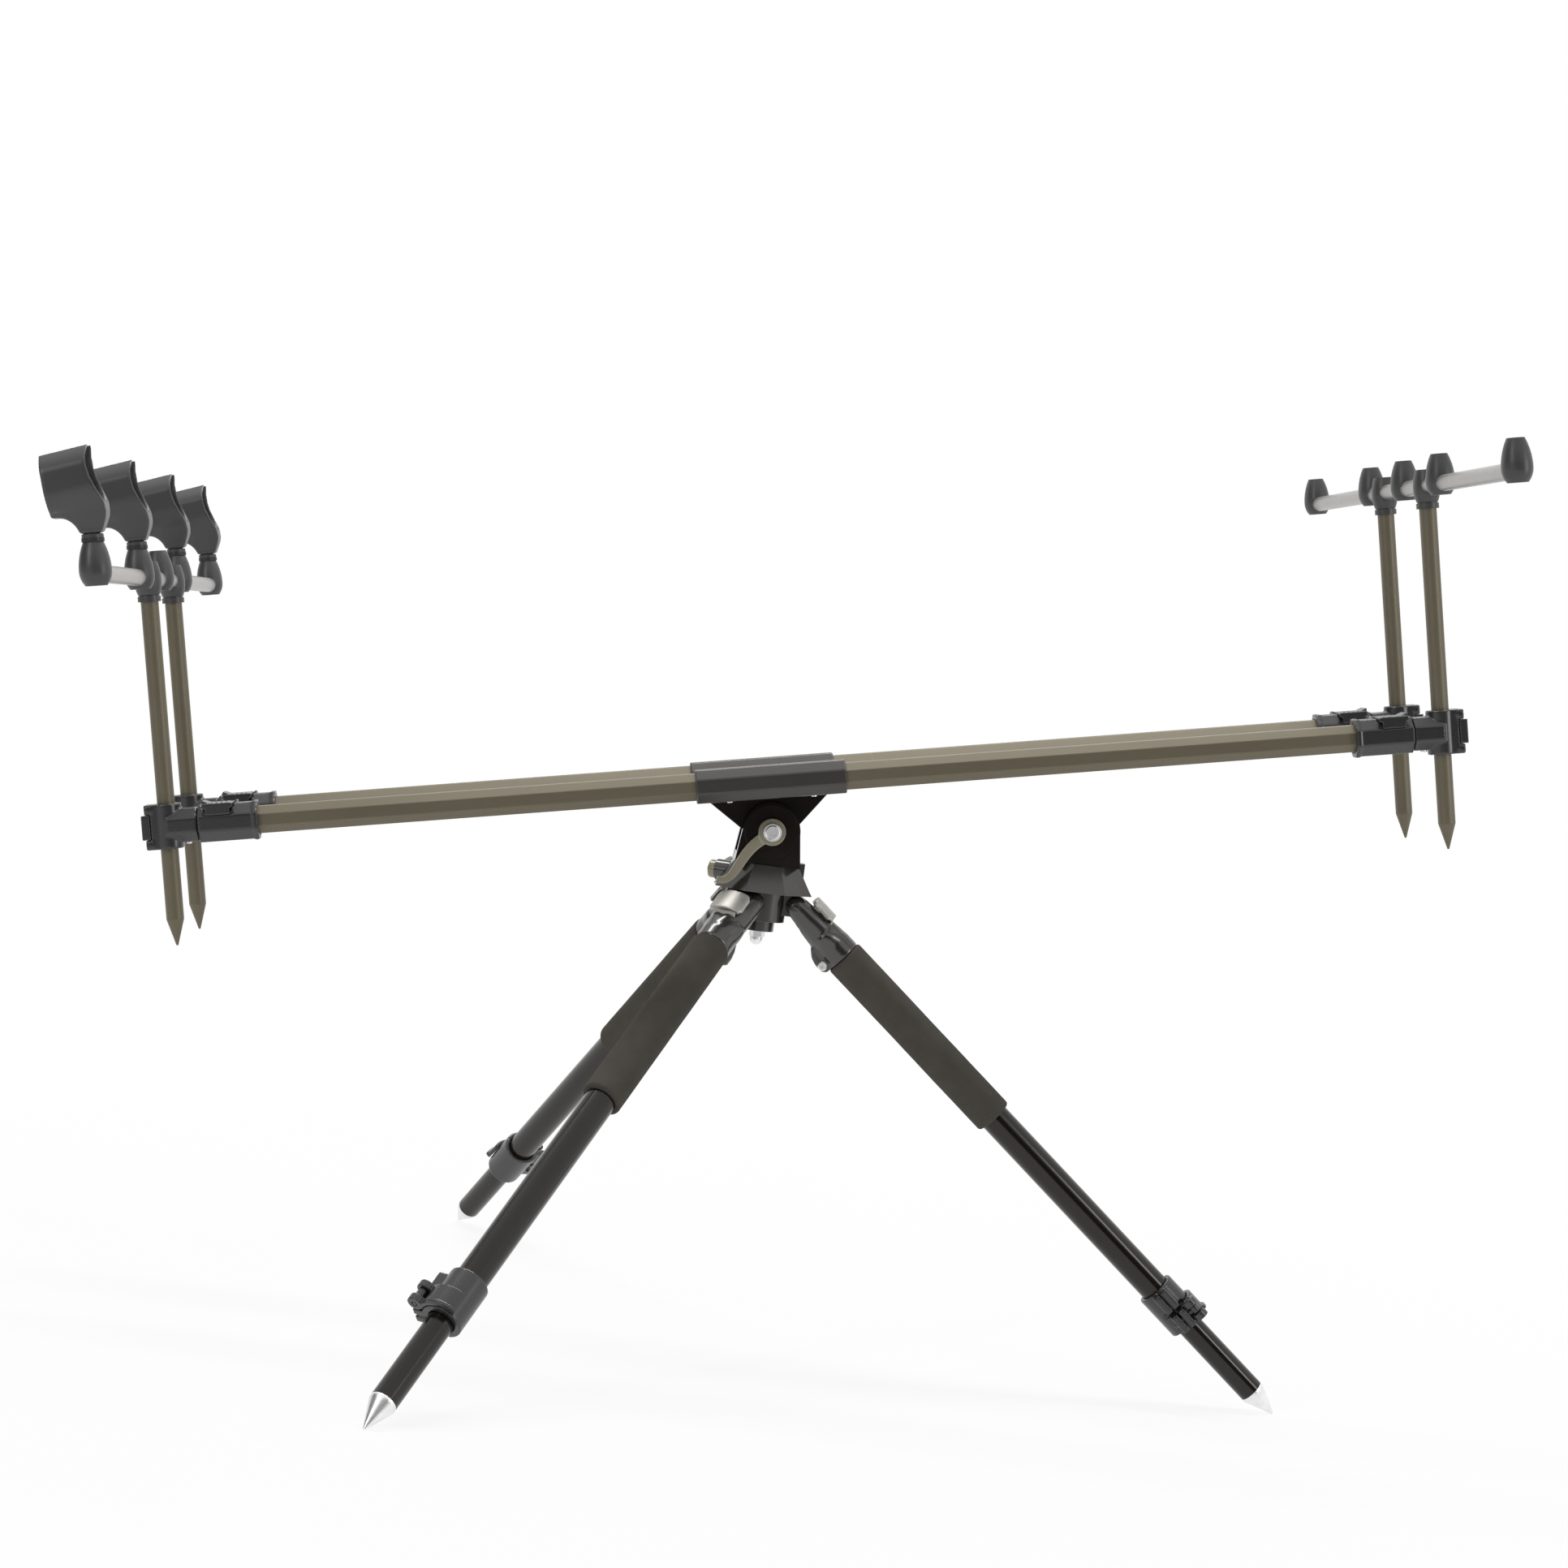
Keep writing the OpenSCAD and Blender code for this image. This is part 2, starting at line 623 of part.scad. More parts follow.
// Extension tube that slides in a beam, from the bracket inwards
module extension_tube(end) {
    translate([end - bracket_r - ext_len, 0, 0]) difference() {
        along_u(ext_len) octagon(ext_af);
        translate([-1, 0, 0]) along_u(ext_len + 2) octagon(ext_af - 2 * ext_wall);
    }
}

module front_extension_tubes() {
    color(bare_metal) in_beam() for (y = sides) translate([0, y, beam_rise]) extension_tube(front_reach);
}

module rear_extension_tubes() {
    color(bare_metal) in_beam() for (y = sides) translate([0, y, beam_rise])
        at_end(false) extension_tube(rear_reach);
}

// STICKS, BARS AND RESTS

tee_foot = 21;
tee_top = 15;
tee_r = 12.4;
stick_top_gap = 1;

// Hollow stick with a solid point, hung from the bar at z = 0
module stick(rise) {
    top = -bar_d / 2 - stick_top_gap;
    shoulder = -rise - stick_drop + point_len;
    tip_r = 0.9;
    rotate_extrude() polygon([
        [stick_d / 2 - stick_wall, top], [stick_d / 2, top], [stick_d / 2, shoulder],
        [tip_r, shoulder - point_len], [0, shoulder - point_len], [0, shoulder + 8],
        [stick_d / 2 - stick_wall, shoulder + 8]
    ]);
}

// Outline between two radii that swells to its largest radius at a given height
module swell(r_max, r_end, h) {
    d = r_max - r_end;
    big_r = (d * d + h * h) / (2 * d);
    intersection() {
        translate([r_max - big_r, 0]) circle(r = big_r, $fn = 180);
        square([r_max, h]);
    }
}

// Barrel-shaped socket that the bar goes into, with its threaded hole on top
module bar_socket() {
    widest = socket_bar_z + 2;
    difference() {
        translate([0, 0, -socket_bar_z]) rotate_extrude() {
            translate([0, widest]) swell(socket_r, socket_top_r, socket_h - widest);
            translate([0, widest]) mirror([0, 1]) swell(socket_r, socket_foot_r, widest);
        }
        translate([0, 0, socket_h - socket_bar_z - thread_depth])
            cylinder(r = thread_r, h = thread_depth + 1);
    }
}

// Tee that joins a stick to the bar, with a grooved collar at its foot
module bar_tee() {
    groove = 1.2;
    difference() {
        rotate_extrude() {
            translate([0, -2]) swell(tee_r, 9.4, tee_top + 2);
            translate([0, -2]) mirror([0, 1]) swell(tee_r, 9.8, tee_foot - 8);
            translate([0, -tee_foot]) square([10.4, 5]);
            translate([0, -tee_foot + 5]) square([10.4 - groove, 2]);
        }
        translate([0, 0, -tee_foot - 1]) cylinder(r = stick_d / 2 + seat_gap, h = tee_foot - bar_d / 2);
    }
}

module bar_fittings() {
    difference() {
        for (y = socket_places) translate([0, y, 0]) bar_socket();
        cross_pin(bar_d / 2 + seat_gap, 2 * end_socket_y);
    }
    difference() {
        for (y = sides) translate([0, y, 0]) bar_tee();
        cross_pin(bar_d / 2 + seat_gap, 2 * end_socket_y);
    }
}

module at_front_bar() in_beam() translate([front_reach, 0, beam_rise + front_rise]) children();
module at_rear_bar() in_beam() translate([-rear_reach, 0, beam_rise + rear_rise]) children();

module front_sticks() color(khaki) at_front_bar() for (y = sides) translate([0, y, 0]) stick(front_rise);
module rear_sticks() color(khaki) at_rear_bar() for (y = sides) translate([0, y, 0]) stick(rear_rise);
module bar() difference() {
    cross_pin(bar_d / 2, 2 * end_socket_y);
    cross_pin(bar_d / 2 - 1.4, 2 * end_socket_y - 4);
}
module front_bar() color(bare_metal) at_front_bar() bar();
module rear_bar() color(bare_metal) at_rear_bar() bar();
module front_bar_sockets() color(dark_plastic) at_front_bar() bar_fittings();
module rear_bar_sockets() color(dark_plastic) at_rear_bar() bar_fittings();

socket_top = socket_h - socket_bar_z;

// Knurled rings that lock the butt rests on their sockets
module lock_rings() {
    color(dark_plastic) at_rear_bar() for (y = rest_places) translate([0, y, socket_top]) difference() {
        cylinder(r = ring_r, h = ring_h);
        translate([0, 0, -1]) cylinder(r = thread_r + seat_gap, h = ring_h + 2);
    }
}

// Side view of a butt rest: x along the channel, y up from the neck
module rest_outline() {
    rear = -cup_rear;
    front = 5;
    crest = lip_top + 4;
    low = cup_axis_z - cup_r - cup_rear * tan(cup_pitch);
    nose = 14.5;
    nose_y = 18;
    scoop_r = 18;
    difference() {
        polygon([
            [-neck_r, 0], [neck_r, 0], [nose - 1, nose_y - 6], [nose, nose_y], [nose - 1, nose_y + 7],
            [front - 0.6, nose_y + 28], [front - 2.6, nose_y + 36], [front - 3, nose_y + 44],
            [front, crest], [rear, crest], [rear + rest_rear_lean * (1 - low / crest), low + 1.4],
            [rear + rest_rear_lean + 2, low - 0.6], [-neck_r - scoop_r, low - 0.6], [-neck_r - scoop_r, 0]
        ]);
        translate([-neck_r - scoop_r, low + 1.2 - scoop_r]) circle(r = scoop_r);
    }
}

// Cross-section of the channel, round below and curled in above, with its foot
module cup_section() {
    inside = cup_r - cup_wall;
    difference() {
        union() {
            circle(r = cup_r);
            translate([0, cup_straight]) circle(r = cup_r);
            translate([-cup_r, 0]) square([2 * cup_r, cup_straight]);
            translate([-neck_r, -cup_axis_z]) square([2 * neck_r, cup_axis_z]);
        }
        circle(r = inside);
        translate([0, cup_straight]) circle(r = inside);
        translate([-inside, 0]) square([2 * inside, cup_straight]);
        translate([-cup_mouth / 2, 0]) square([cup_mouth, 3 * cup_r]);
    }
}

// Channel that holds a rod's handle, on a stud that turns in its socket
module butt_rest(k) {
    long = 90;
    color(dark_plastic) at_rear_bar() translate([0, rest_places[k - 1], socket_top + ring_h + stud_gap]) {
        intersection() {
            along_y(3 * cup_r) rest_outline();
            translate([0, 0, cup_axis_z]) rotate([0, -cup_pitch, 0])
                translate([-long * 0.7, 0, 0]) along_u(long) cup_section();
        }
        translate([0, 0, -ring_h - stud_gap - thread_depth + 2])
            cylinder(r = thread_r - pin_gap, h = ring_h + stud_gap + thread_depth + 2);
    }
}

// LEGS

pinch_w = 19;
shoulder_t = 47;
arm_step = 0.12;
ear_r = 4;
ear_w = 6;
fork_root_t = 37;
fork_gap_w = hub_lug_w + 2 * slide_gap;

// Forked casting that holds the leg's tube: two round arms that run into a round-shouldered cuff,
// with a split flange and its pinch screw on the underside
module leg_casting(k) {
    arm_y = leg_fork_w / 2 - knuckle_r;
    arm_r = knuckle_r - arm_step;
    arm_end_r = knuckle_r + 2.4;
    cuff_y = casting_r - arm_end_r - 0.6;
    lean = atan2(arm_y - cuff_y, shoulder_t);
    arm_len = shoulder_t / cos(lean);
    slit_w = 1.6;
    flange = casting_r + 7.4;
    flange_from = 53;
    flange_to = 62;
    color(black_satin) in_leg(k) difference() {
        union() {
            for (s = [-1, 1]) translate([0, s * arm_y, 0]) {
                sphere(r = knuckle_r);
                rotate([-s * lean, 0, 0]) translate([0, 0, -arm_len])
                    cylinder(r1 = arm_end_r, r2 = arm_r, h = arm_len);
            }
            for (s = [-1, 1]) translate([0, s * (fork_gap_w + ear_w) / 2, -tab_pin_t])
                rotate([0, 90, 0]) cylinder(r = ear_r, h = tab_pin_x);
            leg_piece(casting_r, shoulder_t, casting_len);
            translate([0, 0, -shoulder_t]) sphere(r = casting_r - arm_step);
            along_y(pinch_w) polygon([
                [0, -fork_root_t - 2], [-casting_r - 0.6, -fork_root_t - 3], [-flange + 2.4, -flange_from + 7],
                [-flange, -flange_from], [-flange, -flange_to], [-flange + 3.4, -casting_len + 1],
                [0, -casting_len + 1]
            ]);
        }
        leg_piece(outer_r + seat_gap, socket_t, casting_len + 1);
        cross_pin(leg_pin_r + pin_gap, leg_fork_w + 2);
        translate([-2 * casting_r, -fork_gap_w / 2, -fork_root_t])
            cube([4 * casting_r, fork_gap_w, fork_root_t + 2 * knuckle_r]);
        translate([-3 * casting_r, -slit_w / 2, -casting_len - 1])
            cube([3 * casting_r, slit_w, casting_len - socket_t]);
    }
    color(bare_metal) in_leg(k) translate([tab_pin_x, 0, -tab_pin_t])
        cross_pin(tab_pin_r, fork_gap_w + ear_w);
}

module leg_tube(k) {
    color(black_gloss) in_leg(k) difference() {
        leg_piece(outer_r, socket_t, outer_end_t);
        leg_piece(inner_r + tube_clearance, socket_t - 1, outer_end_t + 1);
    }
}

// Foam sleeve on the outer tube, with rolled edges
module foam_grip(k) {
    edge = 3;
    r = foam_d / 2;
    color(foam_colour) in_leg(k) translate([0, 0, -casting_len - foam_len]) rotate_extrude() difference() {
        union() {
            translate([0, edge]) square([r, foam_len - 2 * edge]);
            square([r - edge, foam_len]);
            for (y = [edge, foam_len - edge]) translate([r - edge, y]) circle(r = edge);
        }
        translate([-r, -1]) square([r + outer_r + seat_gap, foam_len + 2]);
    }
}

// Clamp on the end of the outer tube, split on its right side, with the eye of the lever's pin
module leg_clamp(k) {
    top = outer_end_t - clamp_half;
    foot = outer_end_t + clamp_half + 2;
    color(dark_plastic) in_leg(k) {
        difference() {
            union() {
                leg_piece(clamp_r, top, foot);
                for (s = [-1, 1]) translate([s > 0 ? 0 : -clamp_lip_x, -clamp_lip_y, -foot])
                    cube([clamp_lip_x, clamp_lip_y - outer_r, foot - top - 2]);
            }
            leg_piece(outer_r + seat_gap, top - 1, outer_end_t);
            leg_piece(inner_r + slide_gap, top, foot + 1);
            translate([-clamp_slot / 2, -2 * clamp_r, -foot - 1]) cube([clamp_slot, 2 * clamp_r, foot]);
            translate([-2 * clamp_r, -2 * clamp_r, -outer_end_t - clamp_cross])
                cube([4 * clamp_r, 2 * clamp_r - inner_r - 1, clamp_cross]);
        }
        translate([clamp_pin_x, clamp_pin_y, -foot]) cylinder(r = clamp_pin_r, h = clamp_half);
        translate([clamp_pin_x, clamp_pin_y, -foot + (clamp_half - clamp_eye_h) / 2])
            cylinder(r = clamp_pin_r + 2, h = clamp_eye_h);
        translate([-clamp_lip_x - 3, clamp_pin_y, -foot + clamp_half / 2]) rotate([0, 90, 0])
            cylinder(r = 2.4, h = clamp_lip_x + 3 + clamp_pin_x);
    }
}

// Part of a ring between two angles
module ring_part(inside, outside, start, end) {
    wedge = 2 * outside;
    intersection() {
        difference() {
            circle(r = outside);
            circle(r = inside);
        }
        polygon([
            [0, 0], wedge * [cos(start), sin(start)], wedge * [1, sin(start)],
            wedge * [1, sin(end)], wedge * [cos(end), sin(end)]
        ]);
    }
}

// Flip lever that wraps over the clamp's top face, from its barrel round to the far side
module clamp_lever(k) {
    foot = outer_end_t + clamp_half + 2;
    inside = clamp_r + 0.8;
    outside = inside + 3.6;
    start = -58;
    end = 52;
    rim_h = 3.5;
    rim_t = 2;
    rim_start = -20;
    eye_room = clamp_eye_h + 2 * slide_gap;
    eye_room_r = clamp_barrel_r + 2;
    color(dark_plastic) in_leg(k) translate([0, 0, -foot]) difference() {
        union() {
            linear_extrude(clamp_half) {
                translate([clamp_pin_x, clamp_pin_y]) circle(r = clamp_barrel_r);
                ring_part(inside, outside, start, end);
            }
            translate([0, 0, rim_t / 4]) linear_extrude(rim_h)
                ring_part(inside + rim_t / 2, outside + rim_t, rim_start, end - rim_t);
        }
        translate([clamp_pin_x, clamp_pin_y, -1]) cylinder(r = clamp_pin_r + pin_gap, h = clamp_half + 2);
        translate([clamp_pin_x, clamp_pin_y, (clamp_half - eye_room) / 2])
            cylinder(r = eye_room_r, h = eye_room);
    }
}

module inner_tube(k) {
    color(black_gloss) in_leg(k) difference() {
        leg_piece(inner_r, inner_end_t - inner_len, inner_end_t);
        leg_piece(inner_r - inner_wall, inner_end_t - inner_len - 1, inner_end_t + 1);
    }
}

// Turned spike with a plug that goes into the tube
module ground_spike(k) {
    plug = 20;
    shoulder = 3;
    core = inner_r - inner_wall - seat_gap;
    half_angle = atan2(inner_r - spike_tip_r, spike_len - shoulder - spike_tip_r);
    touch_r = spike_tip_r * cos(half_angle);
    touch_z = spike_tip_r * (1 - sin(half_angle));
    color(bare_metal) in_leg(k) translate([0, 0, -foot_t]) {
        rotate_extrude() polygon([
            [0, touch_z], [touch_r, touch_z], [inner_r, spike_len - shoulder], [inner_r, spike_len],
            [core, spike_len], [core, spike_len + plug], [0, spike_len + plug]
        ]);
        translate([0, 0, spike_tip_r]) sphere(r = spike_tip_r);
    }
}

// Cast tab that sets the leg's splay, on a pin across the fork
module angle_tab(k) {
    from = 9;
    to = 33;
    tongue_w = hub_lug_w - 2 * slide_gap;
    crown_r = 30;
    color(bare_metal) in_leg(k) difference() {
        union() {
            translate([tab_pin_x, 0, -tab_pin_t]) cross_pin(tab_pin_r + 2.2, tongue_w);
            translate([knuckle_r + slide_gap, -tongue_w / 2, -tab_pin_t])
                cube([4, tongue_w, tab_pin_t - from - 3]);
            intersection() {
                translate([knuckle_r + 3.4, -tab_w / 2, -to]) cube([9, tab_w, to - from]);
                translate([knuckle_r + 11.5 - crown_r, 0, -to]) cylinder(r = crown_r, h = to);
                translate([0, 0, -(from + to) / 2]) rotate([0, 90, 0])
                    cylinder(r = tab_w / 2 + 1.4, h = 40);
            }
        }
        translate([tab_pin_x, 0, -tab_pin_t]) cross_pin(tab_pin_r + pin_gap, tab_w);
    }
}

spider_hub();
head_skirt();
centre_bolt();
leg_pivot_pins();
pan_lever();
pan_fork();
tilt_bolt();
tilt_lever();
cradle_lug();
beam_sleeves();
main_beams();
beam_collars();
collar_lever(true, -stick_y);  // collar_lever_front_right
collar_lever(true, stick_y);  // collar_lever_front_left
collar_lever(false, -stick_y);  // collar_lever_rear_right
collar_lever(false, stick_y);  // collar_lever_rear_left
stick_lever(true, -stick_y);  // stick_lever_front_right
stick_lever(true, stick_y);  // stick_lever_front_left
stick_lever(false, -stick_y);  // stick_lever_rear_right
stick_lever(false, stick_y);  // stick_lever_rear_left
front_brackets();
front_extension_tubes();
rear_brackets();
rear_extension_tubes();
front_sticks();
front_bar();
front_bar_sockets();
rear_sticks();
rear_bar();
rear_bar_sockets();
lock_rings();
for (k = [1 : 4]) butt_rest(k);
for (k = [1 : 3]) {
    leg_casting(k);
    leg_tube(k);
    foam_grip(k);
    leg_clamp(k);
    clamp_lever(k);
    inner_tube(k);
    ground_spike(k);
    angle_tab(k);
}
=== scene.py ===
"""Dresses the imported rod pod: rounded edges, foam grips, knurling, screws, finishes and a studio."""

import json
import math

import bmesh
import bpy
from bpy.props import FloatProperty, FloatVectorProperty, IntProperty, PointerProperty
from mathutils import Matrix, Vector, noise


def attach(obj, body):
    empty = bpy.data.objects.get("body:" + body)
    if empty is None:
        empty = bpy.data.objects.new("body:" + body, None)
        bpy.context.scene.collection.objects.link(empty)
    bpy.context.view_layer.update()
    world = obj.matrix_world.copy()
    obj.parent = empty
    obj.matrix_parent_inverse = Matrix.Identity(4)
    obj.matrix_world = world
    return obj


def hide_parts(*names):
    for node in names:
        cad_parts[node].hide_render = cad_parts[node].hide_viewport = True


bl_info = {
    "name": "Rod Pod Dresser",
    "version": (1, 0, 0),
    "blender": (4, 5, 0),
    "location": "View3D > Sidebar > Rod Pod",
    "description": "Gives a tripod rod pod its rounded edges, grips, screws, finishes and studio",
    "category": "Object",
}

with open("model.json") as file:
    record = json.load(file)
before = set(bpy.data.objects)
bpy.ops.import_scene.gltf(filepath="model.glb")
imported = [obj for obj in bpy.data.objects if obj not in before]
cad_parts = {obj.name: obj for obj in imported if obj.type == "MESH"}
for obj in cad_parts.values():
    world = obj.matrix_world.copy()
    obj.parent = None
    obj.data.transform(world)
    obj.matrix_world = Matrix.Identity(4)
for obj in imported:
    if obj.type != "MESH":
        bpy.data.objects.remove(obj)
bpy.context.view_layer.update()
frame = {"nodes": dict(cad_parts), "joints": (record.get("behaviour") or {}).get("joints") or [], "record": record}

MM = 0.001
RECORD = frame["record"]
JOINTS = {joint["name"]: joint for joint in frame["joints"]}
BODY_OF = {node: body for body, nodes in RECORD["behaviour"]["bodies"].items() for node in nodes}
SLOT_OF = {part["node"]: part["material_slot"] for part in RECORD["subparts"]}

# Places and directions that the frame gives
HUB = Vector(JOINTS["pan"]["pos_m"])
ALONG = Vector(JOINTS["front_extension"]["axis"])
UP = Vector(JOINTS["front_height"]["axis"])
ACROSS = Vector((0, 1, 0))
LEGS = (1, 2, 3)
RESTS = (1, 2, 3, 4)
ENDS = ("front", "rear")
SIDES = ("right", "left")

# Edges sharper than this, in degrees, stay sharp on a blended piece
BLENDED_ANGLE = 70
# Points closer than this, in metres, are one point
SAME_PLACE = 1e-7


def srgb(red, green, blue):
    """Linear colour of a screen colour from 0 to 255."""
    def linear(value):
        v = value / 255
        return v / 12.92 if v <= 0.04045 else ((v + 0.055) / 1.055) ** 2.4
    return linear(red), linear(green), linear(blue)


def size(name, description, default):
    """A length that a user may change."""
    return FloatProperty(name=name, description=description, default=default, min=0, precision=5,
                         unit="LENGTH")


def blend_passes(name, description, default):
    """A number of smoothing passes that a user may change."""
    return IntProperty(name=name, description=description, default=default, min=1)


def colour(name, description, default):
    """A colour that a user may change."""
    return FloatVectorProperty(name=name, description=description, default=default, subtype="COLOR",
                               min=0, max=1)


class RodPodSizes(bpy.types.PropertyGroup):
    """Small sizes that the dressing adds to the pod."""

    beam_corner: size("Beam corner", "Rounding of the beams' long edges", 2.4 * MM)
    sleeve_corner: size("Sleeve corner", "Rounding of the sleeves' edges", 2.6 * MM)
    casting_edge: size("Casting edge", "Rounding of the head's castings", 1.3 * MM)
    moulded_edge: size("Moulded edge", "Rounding of the sockets' edges", 0.8 * MM)
    lever_grain: size("Lever detail", "Step of the levers' and tabs' mesh before it is blended", 0.5 * MM)
    lever_blend: blend_passes("Lever blend", "Passes that round the clamping levers and tabs", 14)
    metal_edge: size("Metal edge", "Rounding of bolts, nuts and spikes", 0.5 * MM)
    foam_ripple: size("Foam ripple", "Unevenness of the foam grips", 0.22 * MM)
    knurl_depth: size("Knurl depth", "Depth of the lock rings' knurling", 0.35 * MM)
    knurl_count: IntProperty(name="Knurls", description="Knurls round a lock ring", default=64, min=8)
    grub_radius: size("Grub screw radius", "Radius of the sleeves' grub screws", 2.6 * MM)
    pinch_radius: size("Pinch screw radius", "Radius of the leg castings' screw heads", 4.5 * MM)
    knuckle_radius: size("Knuckle radius", "Radius of a leg casting's arms at the pivot", 10.8 * MM)
    arm_radius: size("Arm radius", "Radius of a leg casting's arms where they meet the cuff", 16.8 * MM)
    cuff_radius: size("Cuff radius", "Radius of a leg casting round the tube", 17.4 * MM)
    cuff_top: size("Cuff top", "Distance from the pivot to the cuff's full width", 47 * MM)
    fork_root: size("Fork root", "Depth of the gap between a casting's arms", 37 * MM)
    fork_gap: size("Fork gap", "Width of the gap between a casting's arms", 24.7 * MM)
    fork_width: size("Fork width", "Width over a casting's arms", 42 * MM)
    flange_width: size("Flange width", "Width of the flange below a casting", 19 * MM)
    mould_grain: size("Moulding detail", "Step of the mouldings' mesh before it is blended", 0.8 * MM)
    mould_blend: blend_passes("Moulding blend", "Passes that round the mouldings and cam levers", 9)
    rest_grain: size("Rest detail", "Step of the butt rests' mesh before it is blended", 0.9 * MM)
    rest_blend: blend_passes("Rest blend", "Passes that blend a rest's creases", 16)
    cast_grain: size("Casting detail", "Step of the castings' mesh before it is blended", 0.8 * MM)
    cast_blend: blend_passes("Casting blend", "Passes that blend a casting's creases", 32)


class RodPodColours(bpy.types.PropertyGroup):
    """Colours of the pod's finishes."""

    tube_khaki: colour("Khaki tube", "Anodised beams and sticks", srgb(110, 103, 85))
    lever_khaki: colour("Khaki lever", "Painted clamping levers", srgb(150, 144, 124))
    sleeve_anthracite: colour("Sleeve", "Anodised sleeves", srgb(68, 66, 63))
    casting_black: colour("Casting", "Painted castings", srgb(47, 45, 42))
    # On the fork and cradle lug this darker finish is partly painted shade
    tube_black: colour("Leg tube", "Leg tubes, fork and cradle lug", srgb(27, 22, 18))
    plastic_dark: colour("Moulding", "Collars, brackets, cam levers and leg clamps", srgb(50, 49, 49))
    rubber_dark: colour("Butt rest", "Butt rests, sockets and lock rings", srgb(68, 68, 69))
    foam_dark: colour("Foam", "Foam grips", srgb(80, 77, 71))
    metal_bright: colour("Plated steel", "Bolts, nuts, screws and spikes", (0.86, 0.86, 0.86))
    alu_satin: colour("Bare aluminium", "Bars", (0.38, 0.37, 0.355))
    tab_cast: colour("Cast aluminium", "Angle tabs", (0.40, 0.39, 0.36))


class RodPodStudio(bpy.types.PropertyGroup):
    """Camera and light of the studio."""

    eye: FloatVectorProperty(name="Eye", description="Camera's place from the head's pan joint",
                             subtype="XYZ", unit="LENGTH", default=(-0.1767, -3.0517, 0.1701))
    yaw: FloatProperty(name="Yaw", description="Camera's turn towards the front", subtype="ANGLE",
                       default=math.radians(3.453))
    pitch: FloatProperty(name="Pitch", description="Camera's downward tilt", subtype="ANGLE",
                         default=math.radians(2.354))
    roll: FloatProperty(name="Roll", description="Camera's roll", subtype="ANGLE",
                        default=math.radians(7.321))
    focal: FloatProperty(name="Focal length", description="Focal length in image widths", default=4000 / 1932)
    floor_radius: size("Floor radius", "Radius of the pale floor", 6.0)


# Meshes

def new_piece(name, bm):
    """Object at the origin that holds a bmesh, which is freed."""
    mesh = bpy.data.meshes.new(name)
    bm.to_mesh(mesh)
    bm.free()
    piece = bpy.data.objects.new(name, mesh)
    bpy.context.scene.collection.objects.link(piece)
    return piece


def smooth(piece, angle=32):
    """Smooth shading, with edges sharper than the angle kept."""
    piece.data.polygons.foreach_set("use_smooth", [True] * len(piece.data.polygons))
    piece.data.set_sharp_from_angle(angle=math.radians(angle))


def settle(piece):
    """Turns a piece with modifiers into a plain mesh."""
    depsgraph = bpy.context.evaluated_depsgraph_get()
    mesh = bpy.data.meshes.new_from_object(piece.evaluated_get(depsgraph))
    old = piece.data
    piece.modifiers.clear()
    piece.data = mesh
    bpy.data.meshes.remove(old)


def finished(piece, node=None, body=None, slot=None):
    """Gives a piece its finish and its place among the bodies; with a node it stands for it."""
    slot = slot or SLOT_OF[node]
    piece.data.materials.clear()
    piece.data.materials.append(finish(slot))
    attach(piece, body or BODY_OF[node])
    if node:
        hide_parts(node)
    return piece


def loft(bm, rings, closed_start=True, closed_end=True):
    """Faces between rings of as many points each, with the ends closed where asked; gives the points."""
    loops = [[bm.verts.new(point) for point in ring] for ring in rings]
    count = len(loops[0])
    for low, high in zip(loops, loops[1:]):
        for i in range(count):
            j = (i + 1) % count
            bm.faces.new((low[i], low[j], high[j], high[i]))
    if closed_start:
        bm.faces.new(list(reversed(loops[0])))
    if closed_end:
        bm.faces.new(loops[-1])
    return [vert for loop in loops for vert in loop]


def turned(bm, origin, axis, profile, count=48):
    """Closed solid of revolution from pairs of a distance along the axis and a radius."""
    return loft(bm, [ring(origin, axis, radius, along, count) for along, radius in profile])


def ring(origin, axis, radius, along, count, shape=None):
    """Points round an axis; shape gives a factor on the radius at each angle."""
    axis = axis.normalized()
    side = axis.orthogonal().normalized()
    other = axis.cross(side)
    points = []
    for i in range(count):
        angle = math.tau * i / count
        r = radius * (shape(angle) if shape else 1)
        points.append(origin + axis * along + r * (math.cos(angle) * side + math.sin(angle) * other))
    return points


def hexagon(angle):
    """Factor that turns a circle into a hexagon of the same corners."""
    return math.cos(math.pi / 6) / math.cos((angle % (math.pi / 3)) - math.pi / 6)


def merged_copy(node, name):
    """Copy of a node's mesh with its triangles joined into whole faces."""
    weld = 2e-6
    flat = math.radians(0.4)
    source = frame["nodes"][node].data
    bm = bmesh.new()
    verts = [bm.verts.new(v.co) for v in source.vertices]
    for polygon in source.polygons:
        bm.faces.new([verts[i] for i in polygon.vertices])
    bmesh.ops.remove_doubles(bm, verts=bm.verts, dist=weld)
    bmesh.ops.dissolve_limit(bm, angle_limit=flat, verts=bm.verts, edges=bm.edges)
    return new_piece(name, bm)


def rounded(node, width, segments=3, slot=None):
    """Piece that stands for a node, with its edges rounded."""
    sharp = math.radians(30)
    piece = merged_copy(node, node + "_rounded")
    bevel = piece.modifiers.new("Rounded edges", "BEVEL")
    bevel.limit_method = "ANGLE"
    bevel.angle_limit = sharp
    bevel.width = width
    bevel.segments = segments
    bevel.miter_outer = "MITER_ARC"
    bevel.use_clamp_overlap = True
    settle(piece)
    smooth(piece)
    weigh = piece.modifiers.new("Flat faces", "WEIGHTED_NORMAL")
    weigh.keep_sharp = True
    settle(piece)
    return finished(piece, node, slot=slot)


